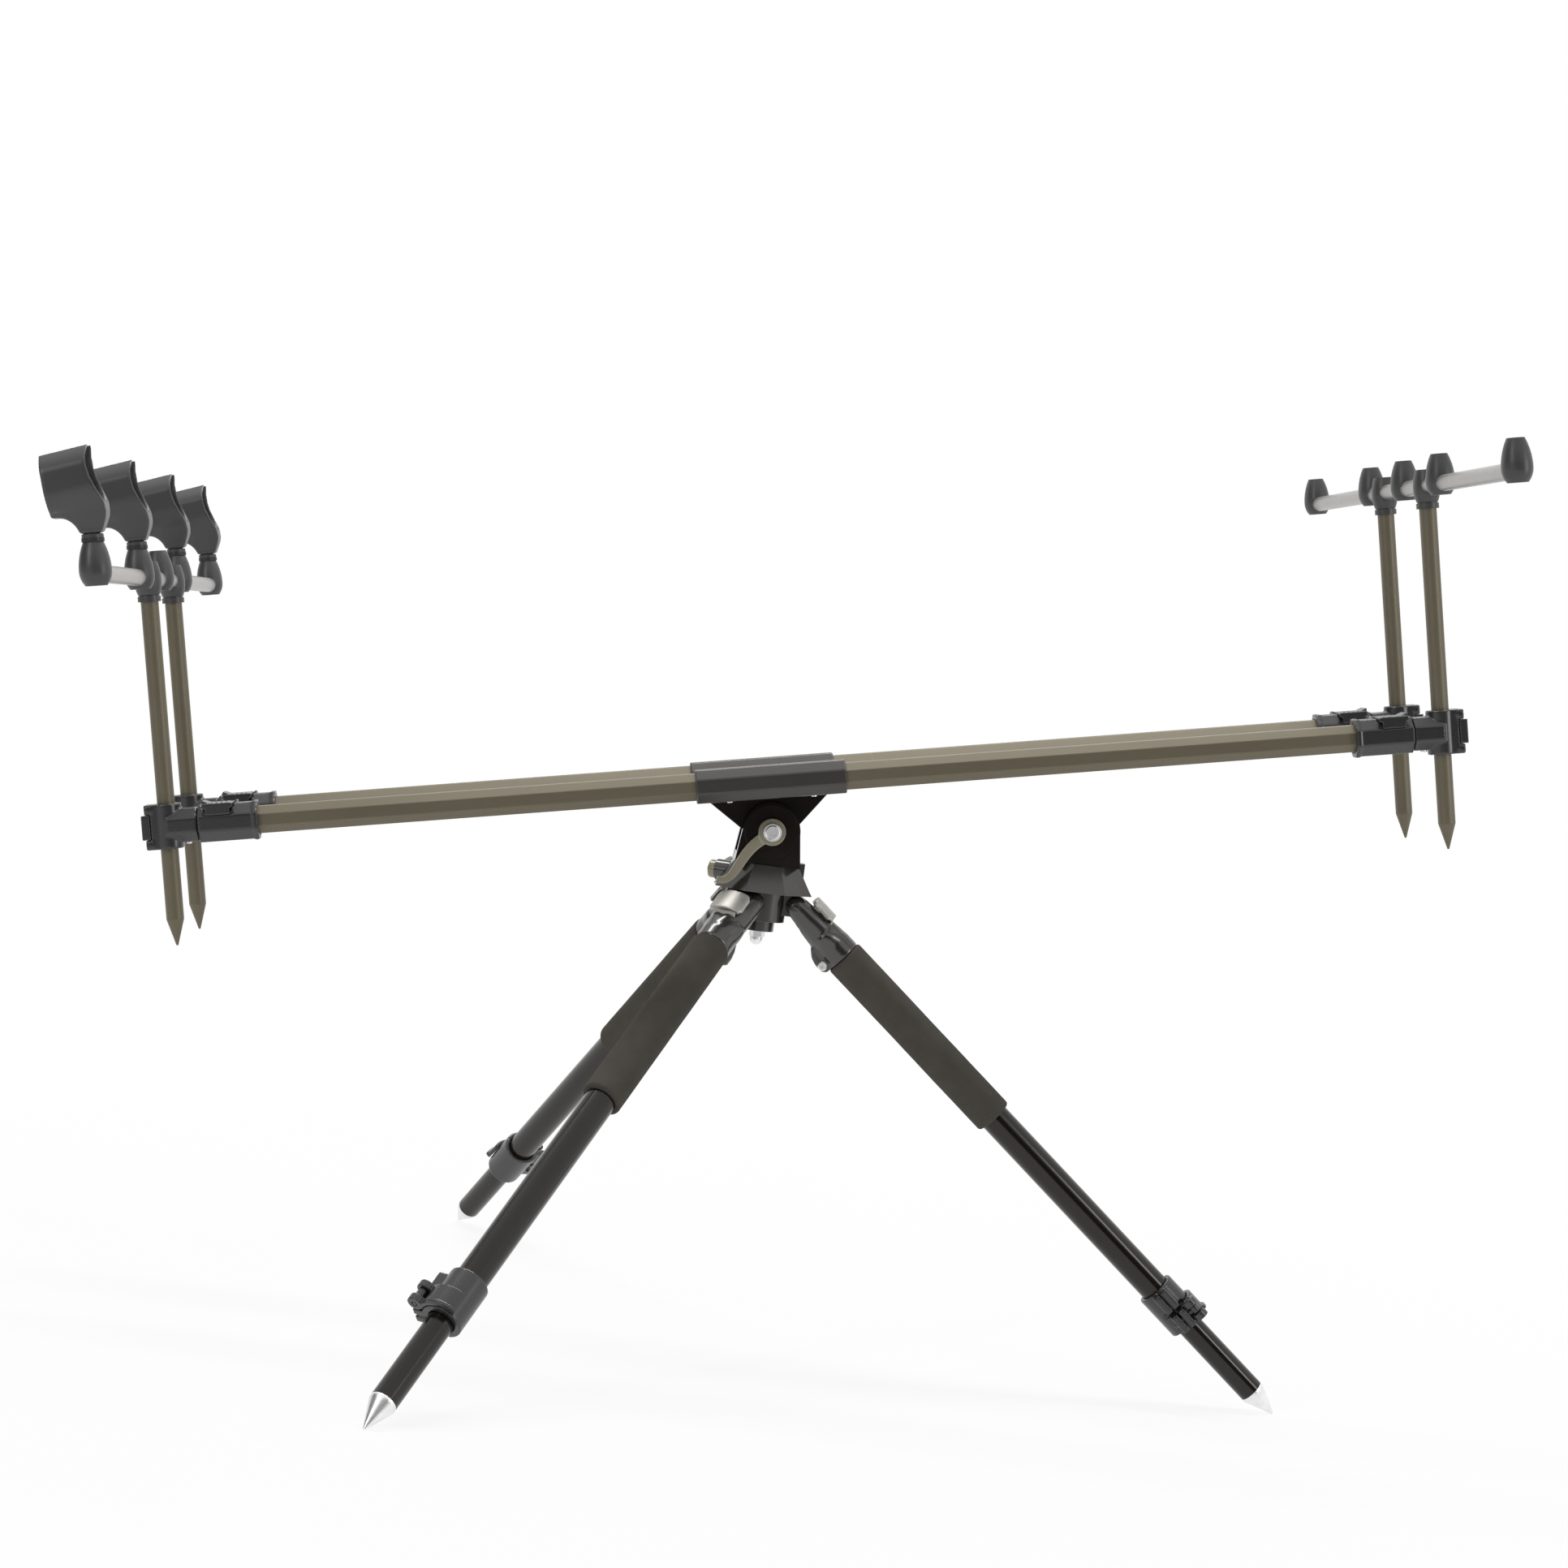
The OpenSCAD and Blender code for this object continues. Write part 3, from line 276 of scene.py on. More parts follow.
def fuse(piece, grain, passes):
    """Joins a piece's overlapping forms into one skin and blends its creases and edges."""
    skin = piece.modifiers.new("Fused", "REMESH")
    skin.mode = "VOXEL"
    skin.voxel_size = grain
    blend = piece.modifiers.new("Blended", "SMOOTH")
    blend.factor = 0.5
    blend.iterations = passes
    settle(piece)
    smooth(piece, BLENDED_ANGLE)


def softened(node, grain, passes):
    """Piece that stands for a node, with its edges blended as in a casting."""
    piece = merged_copy(node, node + "_soft")
    fuse(piece, grain, passes)
    return finished(piece, node)


def leg_frame(k):
    """Pivot of a leg, and its directions down, across and out."""
    pivot = Vector(JOINTS[f"leg_fold_{k}"]["pos_m"])
    down = Vector(JOINTS[f"leg_length_{k}"]["axis"]).normalized()
    across = Vector(JOINTS[f"leg_fold_{k}"]["axis"]).normalized()
    return pivot, down, across, down.cross(across)


def reach(node, origin, axis):
    """Lowest and highest distance of a node along an axis, and its least and largest radius."""
    points = [vertex.co - origin for vertex in frame["nodes"][node].data.vertices]
    spans = [point.dot(axis) for point in points]
    radii = [(point - axis * span).length for point, span in zip(points, spans)]
    return min(spans), max(spans), min(radii), max(radii)


# Shader groups

def place(tree, kind, inputs=None, **settings):
    """New node with its settings and its inputs set or linked."""
    node = tree.nodes.new(kind)
    for name, value in settings.items():
        setattr(node, name, value)
    for key, value in (inputs or {}).items():
        socket = node.inputs[key]
        if isinstance(value, bpy.types.NodeSocket):
            tree.links.new(value, socket)
        else:
            socket.default_value = value
    return node


def cleared(owner):
    """Emptied node tree of a material or a world."""
    owner.use_nodes = True
    owner.node_tree.nodes.clear()
    return owner.node_tree


def new_group(name, inputs, outputs, kind="ShaderNodeTree"):
    """Empty node group with sockets by name and kind, and its input's and output's sockets."""
    tree = bpy.data.node_groups.new(name, kind)
    for label, socket in inputs.items():
        tree.interface.new_socket(label, in_out="INPUT", socket_type="NodeSocket" + socket)
    for label, socket in outputs.items():
        tree.interface.new_socket(label, in_out="OUTPUT", socket_type="NodeSocket" + socket)
    return tree, tree.nodes.new("NodeGroupInput").outputs, tree.nodes.new("NodeGroupOutput").inputs


def shared(name, build):
    """Node group of a name, built when it is first asked for."""
    return bpy.data.node_groups.get(name) or build(name)


def tone_group(name):
    """Colour that drifts a little over the surface."""
    sockets = {"Vector": "Vector", "Colour": "Color", "Scale": "Float",
               "Amount": "Float"}
    tree, given, result = new_group(name, sockets, {"Colour": "Color"})
    cloud = place(tree, "ShaderNodeTexNoise", {"Vector": given["Vector"], "Scale": given["Scale"],
                                               "Detail": 5.0})
    swing = place(tree, "ShaderNodeMapRange", {"Value": cloud.outputs[0], "From Min": 0.3, "From Max": 0.7,
                                               "To Min": -1.0, "To Max": 1.0})
    part = place(tree, "ShaderNodeMath", {0: swing.outputs[0], 1: given["Amount"], 2: 1.0},
                 operation="MULTIPLY_ADD")
    tint = place(tree, "ShaderNodeVectorMath", {0: given["Colour"], "Scale": part.outputs[0]},
                 operation="SCALE")
    tree.links.new(tint.outputs[0], result["Colour"])
    return tree


def grain_group(name):
    """Fine bumps of a moulded, cast or sprayed surface."""
    sockets = {"Vector": "Vector", "Scale": "Float", "Cells": "Float"}
    tree, given, result = new_group(name, sockets, {"Height": "Float"})
    cloud = place(tree, "ShaderNodeTexNoise", {"Vector": given["Vector"], "Scale": given["Scale"],
                                               "Detail": 3.0})
    cells = place(tree, "ShaderNodeTexVoronoi", {"Vector": given["Vector"], "Scale": given["Scale"]})
    blend = place(tree, "ShaderNodeMix", {"Factor": given["Cells"], "A": cloud.outputs[0],
                                          "B": cells.outputs["Distance"]})
    tree.links.new(blend.outputs[0], result["Height"])
    return tree


def scuff_group(name):
    """Mask of short scratches that gather in patches."""
    sockets = {"Vector": "Vector", "Patch": "Float", "Cover": "Float"}
    tree, given, result = new_group(name, sockets, {"Mask": "Float"})
    patch = place(tree, "ShaderNodeTexNoise", {"Vector": given["Vector"], "Scale": given["Patch"],
                                               "Detail": 2.0})
    no_cover = 0.72
    edge = place(tree, "ShaderNodeMath", {0: no_cover, 1: given["Cover"]}, operation="SUBTRACT")
    gather = place(tree, "ShaderNodeMath", {0: patch.outputs[0], 1: edge.outputs[0]},
                   operation="GREATER_THAN")
    masks = []
    for turn, stretch in ((0.5, (900.0, 60.0, 60.0)), (-0.9, (60.0, 60.0, 700.0))):
        drawn = place(tree, "ShaderNodeMapping", {"Vector": given["Vector"], "Rotation": (turn, turn, 0.4),
                                                  "Scale": stretch})
        line = place(tree, "ShaderNodeTexNoise", {"Vector": drawn.outputs[0], "Scale": 1.0, "Detail": 2.0})
        thin = place(tree, "ShaderNodeMapRange", {"Value": line.outputs[0], "From Min": 0.60,
                                                  "From Max": 0.70})
        masks.append(thin.outputs[0])
    both = place(tree, "ShaderNodeMath", {0: masks[0], 1: masks[1]}, operation="MAXIMUM")
    mask = place(tree, "ShaderNodeMath", {0: both.outputs[0], 1: gather.outputs[0]}, operation="MULTIPLY")
    tree.links.new(mask.outputs[0], result["Mask"])
    return tree


# Finishes

def make_finish(name, base, roughness, tone, grain, metallic=0.0, specular=0.5, scuff=None, drawn=None):
    """Material with drifting tone, grain and, where asked, scuffs or drawn streaks.

    tone is the drift's scale and amount; grain its scale, its share of cells and its depth in mm;
    scuff the patches' scale, their cover, their colour and their roughness; drawn the tube's direction.
    """
    streak = (0.02, 1.0, 1.0)
    vary = 0.1
    material = bpy.data.materials.new(name)
    tree = cleared(material)
    vector = place(tree, "ShaderNodeTexCoord").outputs["Object"]
    shade = place(tree, "ShaderNodeBsdfPrincipled")
    out = place(tree, "ShaderNodeOutputMaterial")
    tree.links.new(shade.outputs[0], out.inputs["Surface"])
    shade.inputs["Metallic"].default_value = metallic
    shade.inputs["Specular IOR Level"].default_value = specular
    drift = place(tree, "ShaderNodeGroup", node_tree=shared("Tone drift", tone_group))
    drift.inputs["Colour"].default_value = (*base, 1)
    drift.inputs["Scale"].default_value, drift.inputs["Amount"].default_value = tone
    tree.links.new(vector, drift.inputs["Vector"])
    tint, height_vector = drift.outputs[0], vector
    if drawn:
        turn = Vector(drawn).to_track_quat("X", "Z").inverted().to_euler()
        height_vector = place(tree, "ShaderNodeMapping", {"Vector": vector, "Rotation": turn,
                                                          "Scale": streak}).outputs[0]
        tree.links.new(height_vector, drift.inputs["Vector"])
    bumps = place(tree, "ShaderNodeGroup", node_tree=shared("Fine grain", grain_group))
    bumps.inputs["Scale"].default_value, bumps.inputs["Cells"].default_value, depth = grain
    tree.links.new(height_vector, bumps.inputs["Vector"])
    bump = place(tree, "ShaderNodeBump", {"Height": bumps.outputs[0], "Strength": 1.0,
                                          "Distance": depth * MM})
    tree.links.new(bump.outputs[0], shade.inputs["Normal"])
    spread = place(tree, "ShaderNodeMapRange", {"Value": bumps.outputs[0], "From Min": 0.3, "From Max": 0.7,
                                                "To Min": roughness * (1 - vary),
                                                "To Max": roughness * (1 + vary)})
    rough = spread.outputs[0]
    if scuff:
        patch, cover, scuff_colour, scuff_rough = scuff
        marks = place(tree, "ShaderNodeGroup", {"Vector": vector, "Patch": patch, "Cover": cover},
                      node_tree=shared("Scuffs", scuff_group)).outputs[0]
        tint = place(tree, "ShaderNodeMix", {"Factor": marks, 6: tint, 7: (*scuff_colour, 1)},
                     data_type="RGBA").outputs[2]
        rough = place(tree, "ShaderNodeMix", {"Factor": marks, "A": rough, "B": scuff_rough}).outputs[0]
    tree.links.new(tint, shade.inputs["Base Color"])
    tree.links.new(rough, shade.inputs["Roughness"])
    return material


def finish(slot):
    """Material of one of the record's slots, made when it is first asked for."""
    if slot in bpy.data.materials and bpy.data.materials[slot].get("rod_pod"):
        return bpy.data.materials[slot]
    base = getattr(bpy.context.scene.rod_pod_colours, slot)
    ways = {
        "tube_khaki": dict(roughness=0.46, metallic=0.35, tone=(60.0, 0.025), grain=(900.0, 0.0, 0.003),
                           drawn=ALONG),
        "lever_khaki": dict(roughness=0.30, metallic=0.25, tone=(40.0, 0.06), grain=(1500.0, 0.2, 0.012)),
        "sleeve_anthracite": dict(roughness=0.32, metallic=0.3, tone=(60.0, 0.03),
                                  grain=(2600.0, 0.2, 0.008)),
        "casting_black": dict(roughness=0.21, tone=(30.0, 0.06), grain=(1500.0, 0.1, 0.006), specular=0.9),
        "tube_black": dict(roughness=0.15, tone=(50.0, 0.10), grain=(600.0, 0.0, 0.002), specular=0.42),
        "plastic_dark": dict(roughness=0.27, tone=(50.0, 0.06), grain=(2400.0, 0.1, 0.005), specular=0.62),
        "rubber_dark": dict(roughness=0.38, tone=(26.0, 0.06), grain=(1600.0, 0.2, 0.012),
                            scuff=(24.0, 0.02, srgb(110, 110, 108), 0.5)),
        "foam_dark": dict(roughness=0.95, tone=(55.0, 0.08), grain=(2600.0, 0.6, 0.06), specular=0.12),
        "metal_bright": dict(roughness=0.36, metallic=1.0, tone=(120.0, 0.06), grain=(1500.0, 0.0, 0.008)),
        "alu_satin": dict(roughness=0.34, metallic=0.9, tone=(90.0, 0.04), grain=(1300.0, 0.0, 0.008)),
        "tab_cast": dict(roughness=0.44, metallic=0.85, tone=(120.0, 0.12), grain=(1300.0, 0.35, 0.08),
                         scuff=(80.0, 0.10, srgb(200, 198, 192), 0.35)),
    }
    material = make_finish(slot, base, **ways[slot])
    material["rod_pod"] = True
    return material


# Geometry node trees

def painted(tree, geometry, given, result):
    """Ends a tree with real copies in the finish that is asked for."""
    real = place(tree, "GeometryNodeRealizeInstances", {0: geometry})
    paint = place(tree, "GeometryNodeSetMaterial", {"Geometry": real.outputs[0],
                                                    "Material": given["Finish"]})
    tree.links.new(paint.outputs[0], result["Geometry"])
    return tree


def knurl_tree():
    """Ribs round a ring's core, as many as asked."""
    sockets = {"Geometry": "Geometry", "Count": "Int", "Radius": "Float",
               "Rib": "Vector", "Finish": "Material"}
    tree, given, result = new_group("Knurling", sockets, {"Geometry": "Geometry"},
                                    "GeometryNodeTree")
    circle = place(tree, "GeometryNodeMeshCircle", {"Vertices": given["Count"], "Radius": given["Radius"]})
    rib = place(tree, "GeometryNodeMeshCube", {"Size": given["Rib"]})
    spot = place(tree, "GeometryNodeInputPosition")
    turn = place(tree, "FunctionNodeAlignRotationToVector", {"Vector": spot.outputs[0]}, axis="X")
    copies = place(tree, "GeometryNodeInstanceOnPoints", {"Points": circle.outputs[0],
                                                          "Instance": rib.outputs[0],
                                                          "Rotation": turn.outputs[0]})
    join = place(tree, "GeometryNodeJoinGeometry")
    tree.links.new(given["Geometry"], join.inputs[0])
    tree.links.new(copies.outputs[0], join.inputs[0])
    return painted(tree, join.outputs[0], given, result)


def scatter_tree(name):
    """Copies of one screw on points, each turned to the point's own axis."""
    sockets = {"Geometry": "Geometry", "Screw": "Object", "Finish": "Material"}
    tree, given, result = new_group(name, sockets, {"Geometry": "Geometry"}, "GeometryNodeTree")
    points = place(tree, "GeometryNodeMeshToPoints", {"Mesh": given["Geometry"]})
    screw = place(tree, "GeometryNodeObjectInfo", {"Object": given["Screw"]})
    axis = place(tree, "GeometryNodeInputNamedAttribute", {"Name": "axis"}, data_type="FLOAT_VECTOR")
    turn = place(tree, "FunctionNodeAlignRotationToVector", {"Vector": axis.outputs[0]}, axis="Z")
    copies = place(tree, "GeometryNodeInstanceOnPoints", {"Points": points.outputs[0],
                                                          "Instance": screw.outputs["Geometry"],
                                                          "Rotation": turn.outputs[0]})
    return painted(tree, copies.outputs[0], given, result)


def run_tree(piece, tree, **values):
    """Runs a tree on a piece with its inputs set, and leaves a plain mesh."""
    modifier = piece.modifiers.new(tree.name, "NODES")
    modifier.node_group = tree
    for item in tree.interface.items_tree:
        if item.in_out == "INPUT" and item.name in values:
            modifier[item.identifier] = values[item.name]
    settle(piece)


def screw_head(name, radius, height, recess):
    """Screw head round +Z with a chamfer and a six-sided recess, standing on z = 0."""
    count = 24
    zero, axis = Vector(), Vector((0, 0, 1))
    chamfer = 0.18 * radius
    recess_foot = height * 0.35
    bm = bmesh.new()
    loft(bm, [
        ring(zero, axis, radius, 0, count),
        ring(zero, axis, radius, height - chamfer, count),
        ring(zero, axis, radius - chamfer, height, count),
        ring(zero, axis, recess, height, count, hexagon),
        ring(zero, axis, recess, recess_foot, count, hexagon),
    ])
    piece = new_piece(name, bm)
    smooth(piece)
    return piece


def screws(name, body, spots, radius, height, recess):
    """Screws at places with an axis each, as one piece."""
    bm = bmesh.new()
    for spot, _ in spots:
        bm.verts.new(spot)
    piece = new_piece(name, bm)
    axis = piece.data.attributes.new("axis", "FLOAT_VECTOR", "POINT")
    for i, (_, direction) in enumerate(spots):
        axis.data[i].vector = direction
    proto = screw_head(name + "_head", radius, height, recess)
    run_tree(piece, shared("Screws on points", scatter_tree), Screw=proto, Finish=finish("metal_bright"))
    bpy.data.objects.remove(proto)
    smooth(piece)
    return finished(piece, body=body, slot="metal_bright")


# Operators

class ROD_POD_OT_beams(bpy.types.Operator):
    """Round the beams, their sleeves, collars and brackets"""

    bl_idname = "rod_pod.beams"
    bl_label = "Beams"

    def execute(self, context):
        sizes = context.scene.rod_pod_sizes
        rounded("main_beams", sizes.beam_corner, segments=4)
        rounded("beam_sleeves", sizes.sleeve_corner, segments=4)
        softened("beam_collars", sizes.mould_grain, sizes.mould_blend)
        for end in ENDS:
            softened(f"{end}_brackets", sizes.mould_grain, sizes.mould_blend)
        return {"FINISHED"}


class ROD_POD_OT_head(bpy.types.Operator):
    """Round the castings, bolts and levers of the head"""

    bl_idname = "rod_pod.head"
    bl_label = "Head"

    def execute(self, context):
        sizes = context.scene.rod_pod_sizes
        for node in ("spider_hub", "head_skirt"):
            rounded(node, sizes.casting_edge)
        # The fork and cradle lug take the darker leg-tube finish, not the castings' own: partly their own darker
        # finish and partly painted shade, where shadow falls on them
        for node in ("pan_fork", "cradle_lug"):
            rounded(node, sizes.casting_edge, slot="tube_black")
        for node in ("tilt_lever", "pan_lever"):
            softened(node, sizes.lever_grain, sizes.lever_blend)
        for node in ("tilt_bolt", "centre_bolt"):
            rounded(node, sizes.metal_edge)
        return {"FINISHED"}


class ROD_POD_OT_cam_levers(bpy.types.Operator):
    """Round the cam levers of the collars and brackets"""

    bl_idname = "rod_pod.cam_levers"
    bl_label = "Cam levers"

    def execute(self, context):
        sizes = context.scene.rod_pod_sizes
        for end in ENDS:
            for side in SIDES:
                softened(f"collar_lever_{end}_{side}", sizes.lever_grain, sizes.mould_blend)
                softened(f"stick_lever_{end}_{side}", sizes.lever_grain, sizes.mould_blend)
        return {"FINISHED"}


class ROD_POD_OT_rests(bpy.types.Operator):
    """Round the bars' sockets and the butt rests, and knurl the lock rings"""

    bl_idname = "rod_pod.rests"
    bl_label = "Sockets and rests"

    def execute(self, context):
        sizes = context.scene.rod_pod_sizes
        for end in ENDS:
            rounded(f"{end}_bar_sockets", sizes.moulded_edge, slot="rubber_dark")
        for k in RESTS:
            self.rest(k, sizes)
        self.knurl(sizes)
        return {"FINISHED"}

    def rest(self, k, sizes):
        """Butt rest with a filled flank, blended edges and bent lips."""
        node = f"butt_rest_{k}"
        foot = Vector(JOINTS[f"butt_rest_turn_{k}"]["pos_m"])
        first_passes = 4
        rest = merged_copy(node, node + "_soft")
        fuse(rest, sizes.rest_grain, first_passes)
        self.fill(rest, foot)
        fuse(rest, sizes.rest_grain, sizes.rest_blend)
        self.curl(rest, foot)
        finished(rest, node)

    def fill(self, rest, foot):
        """Fills the hollow between a rest's neck and its channel."""
        neck, slope, share = 8.8 * MM, 0.384, 0.85
        neck_side, stud_room = 8.2 * MM, 7 * MM
        lowest, start, highest = 3 * MM, 4 * MM, 34 * MM
        fade_from, fade = -26 * MM, 14 * MM
        points = [vertex.co - foot for vertex in rest.data.vertices]
        base = min(p.dot(UP) for p in points if (p - UP * p.dot(UP)).length > stud_room)
        for vertex, point in zip(rest.data.vertices, points):
            height = point.dot(UP) - base
            side = abs(point.y)
            faces_in = vertex.normal.y * point.y <= 0
            if faces_in or side < neck_side or not lowest < height < highest:
                continue
            flank = neck + slope * (height - start)
            weight = min(max((point.dot(ALONG) - fade_from) / fade, 0), 1)
            side += weight * share * max(flank - side, 0)
            vertex.co.y = foot.y + math.copysign(side, point.y)

    def curl(self, rest, foot):
        """Bends the two lips of a rest's mouth in towards each other."""
        depth, share = 17 * MM, 0.42
        above_neck, end_room = 50 * MM, 4 * MM
        points = [vertex.co - foot for vertex in rest.data.vertices]
        ends = []
        for side in (min, max):
            edge = side(point.dot(ALONG) for point in points if point.dot(UP) > above_neck)
            near = [point for point in points if abs(point.dot(ALONG) - edge) < end_room]
            top = max(near, key=lambda point: point.dot(UP))
            ends.append((top.dot(ALONG), top.dot(UP)))
        (start, low), (stop, high) = ends
        slope = (high - low) / (stop - start)
        for vertex, point in zip(rest.data.vertices, points):
            lip = low + slope * (point.dot(ALONG) - start)
            bend = min(max((point.dot(UP) - lip + depth) / depth, 0), 1)
            vertex.co.y = foot.y + point.y * (1 - share * bend ** 2)

    def knurl(self, sizes):
        """One piece with the four lock rings."""
        first = Vector(JOINTS["butt_rest_turn_1"]["pos_m"])
        points = [vertex.co - first for vertex in frame["nodes"]["lock_rings"].data.vertices]
        ring_room = 40 * MM
        near = [point for point in points if point.length < ring_room]
        spans = [point.dot(UP) for point in near]
        radii = [(point - UP * span).length for point, span in zip(near, spans)]
        height, radius, bore = max(spans), max(radii), min(radii)
        zero, axis = Vector(), Vector((0, 0, 1))
        edge = 0.7 * MM
        core = radius - sizes.knurl_depth
        count = 72
        profile = [(0, bore), (0, core - edge), (edge, core), (height - edge, core), (height, core - edge),
                   (height, bore), (0, bore)]
        bm = bmesh.new()
        loft(bm, [ring(zero, axis, r, t, count) for t, r in profile], False, False)
        bmesh.ops.remove_doubles(bm, verts=bm.verts, dist=SAME_PLACE)
        piece = new_piece("lock_rings_knurled", bm)
        pitch = math.tau * radius / sizes.knurl_count
        rib_share, rib_ends = 0.55, 2.4 * edge
        rib = (2 * sizes.knurl_depth, rib_share * pitch, height - rib_ends)
        run_tree(piece, knurl_tree(), Count=sizes.knurl_count, Radius=core, Rib=rib,
                 Finish=finish("rubber_dark"))
        self.copy_to_sockets(piece)
        smooth(piece)
        finished(piece, "lock_rings", slot="rubber_dark")

    def copy_to_sockets(self, piece):
        """Puts the ring on each of the butt rests' sockets."""
        turn = UP.to_track_quat("Z", "Y").to_matrix().to_4x4()
        bm = bmesh.new()
        for k in RESTS:
            mesh = piece.data.copy()
            mesh.transform(Matrix.Translation(Vector(JOINTS[f"butt_rest_turn_{k}"]["pos_m"])) @ turn)
            bm.from_mesh(mesh)
            bpy.data.meshes.remove(mesh)
        bm.to_mesh(piece.data)
        bm.free()


class ROD_POD_OT_castings(bpy.types.Operator):
    """Cast the legs' forks: two arms that run into a cuff, with every crease blended"""

    bl_idname = "rod_pod.castings"
    bl_label = "Leg castings"

    def execute(self, context):
        for k in LEGS:
            self.fork(k, context.scene.rod_pod_sizes)
        return {"FINISHED"}

    def fork(self, k, sizes):
        """Casting of one leg, as overlapping forms that are then fused and blended."""
        node = f"leg_casting_{k}"
        pivot, down, across, out = leg_frame(k)
        foot = reach(node, pivot, down)[1]
        bm = bmesh.new()
        for side in (across, -across):
            self.arm(bm, pivot, down, side, sizes)
        self.cuff(bm, pivot, down, across, out, foot, sizes)
        self.flange(bm, pivot, down, across, out, foot, sizes)
        piece = new_piece(node + "_cast", bm)
        fuse(piece, sizes.cast_grain, sizes.cast_blend)
        self.bore(piece, pivot, down, k)
        smooth(piece, BLENDED_ANGLE)
        finished(piece, node)

    def bore(self, piece, pivot, down, k):
        """Room in the cuff for the leg's tubes."""
        gap = 0.1 * MM
        count = 96
        top, foot, _, radius = reach(f"leg_tube_{k}", pivot, down)
        bm = bmesh.new()
        turned(bm, pivot, down, [(top - gap, radius + gap), (foot, radius + gap)], count)
        bmesh.ops.recalc_face_normals(bm, faces=bm.faces)
        tool = new_piece("bore", bm)
        cut = piece.modifiers.new("Bore", "BOOLEAN")
        cut.operation = "DIFFERENCE"
        cut.object = tool
        settle(piece)
        bpy.data.objects.remove(tool)

    def cuff(self, bm, pivot, down, across, out, foot, sizes):
        """Cuff round the tube, which spreads upwards to the width of the arms."""
        round_r = sizes.cuff_radius
        wide = sizes.fork_width / 2
        shoulder = sizes.fork_root + 6 * MM
        full = sizes.cuff_top + 5 * MM
        count = 64
        # Distance from the pivot, half the width and half the depth
        stations = [
            (sizes.fork_root, 0.97 * wide, 0.74 * round_r),
            (shoulder, 0.93 * wide, 0.9 * round_r),
            (full, round_r, round_r),
            (foot, round_r, round_r),
        ]
        angles = [math.tau * i / count for i in range(count)]
        loft(bm, [[pivot + down * t + across * a * math.cos(q) + out * b * math.sin(q) for q in angles]
                  for t, a, b in stations])

    def arm(self, bm, pivot, down, side, sizes):
        """One arm, round outside and flat where the hub's lug runs."""
        half_gap = sizes.fork_gap / 2
        inset = 0.6 * MM
        waist, waist_share = 0.4, 0.82
        start = pivot + side * (sizes.fork_width / 2 - sizes.knuckle_radius)
        end = pivot + down * sizes.cuff_top + side * (sizes.cuff_radius - sizes.arm_radius - inset)
        axis = end - start
        cap = [math.radians(a) for a in range(5, 91, 17)]
        profile = [(-sizes.knuckle_radius * math.cos(a), sizes.knuckle_radius * math.sin(a)) for a in cap]
        profile += [(waist * axis.length, waist_share * sizes.arm_radius), (axis.length, sizes.arm_radius)]
        for vert in turned(bm, start, axis, profile):
            offset = vert.co - pivot
            short = half_gap - offset.dot(side)
            if short > 0 and offset.dot(down) < sizes.fork_root:
                vert.co += side * short

    def flange(self, bm, pivot, down, across, out, foot, sizes):
        """Split flange with the pinch screw, on the underside."""
        edge = sizes.cuff_radius + 7.4 * MM
        lead, taper = 2 * MM, 3.4 * MM
        lead_at, flat_from, flat_to, end = 46 * MM, 53 * MM, 62 * MM, foot - 0.6 * MM
        # Places towards the upper side and down the leg
        outline = [
            (0, sizes.fork_root),
            (-sizes.cuff_radius, sizes.fork_root + lead),
            (-edge + lead, lead_at),
            (-edge, flat_from),
            (-edge, flat_to),
            (-edge + taper, end),
            (0, end),
        ]
        loft(bm, [[pivot + across * v + out * x + down * t for x, t in outline]
                  for v in (-sizes.flange_width / 2, sizes.flange_width / 2)])


class ROD_POD_OT_legs(bpy.types.Operator):
    """Round the legs' clamps, levers, spikes and angle tabs"""

    bl_idname = "rod_pod.legs"
    bl_label = "Legs"

    def execute(self, context):
        sizes = context.scene.rod_pod_sizes
        for k in LEGS:
            softened(f"leg_clamp_{k}", sizes.mould_grain, sizes.mould_blend)
            softened(f"clamp_lever_{k}", sizes.lever_grain, sizes.mould_blend)
            rounded(f"ground_spike_{k}", sizes.metal_edge, slot="metal_bright")
            softened(f"angle_tab_{k}", sizes.lever_grain, sizes.lever_blend)
        return {"FINISHED"}


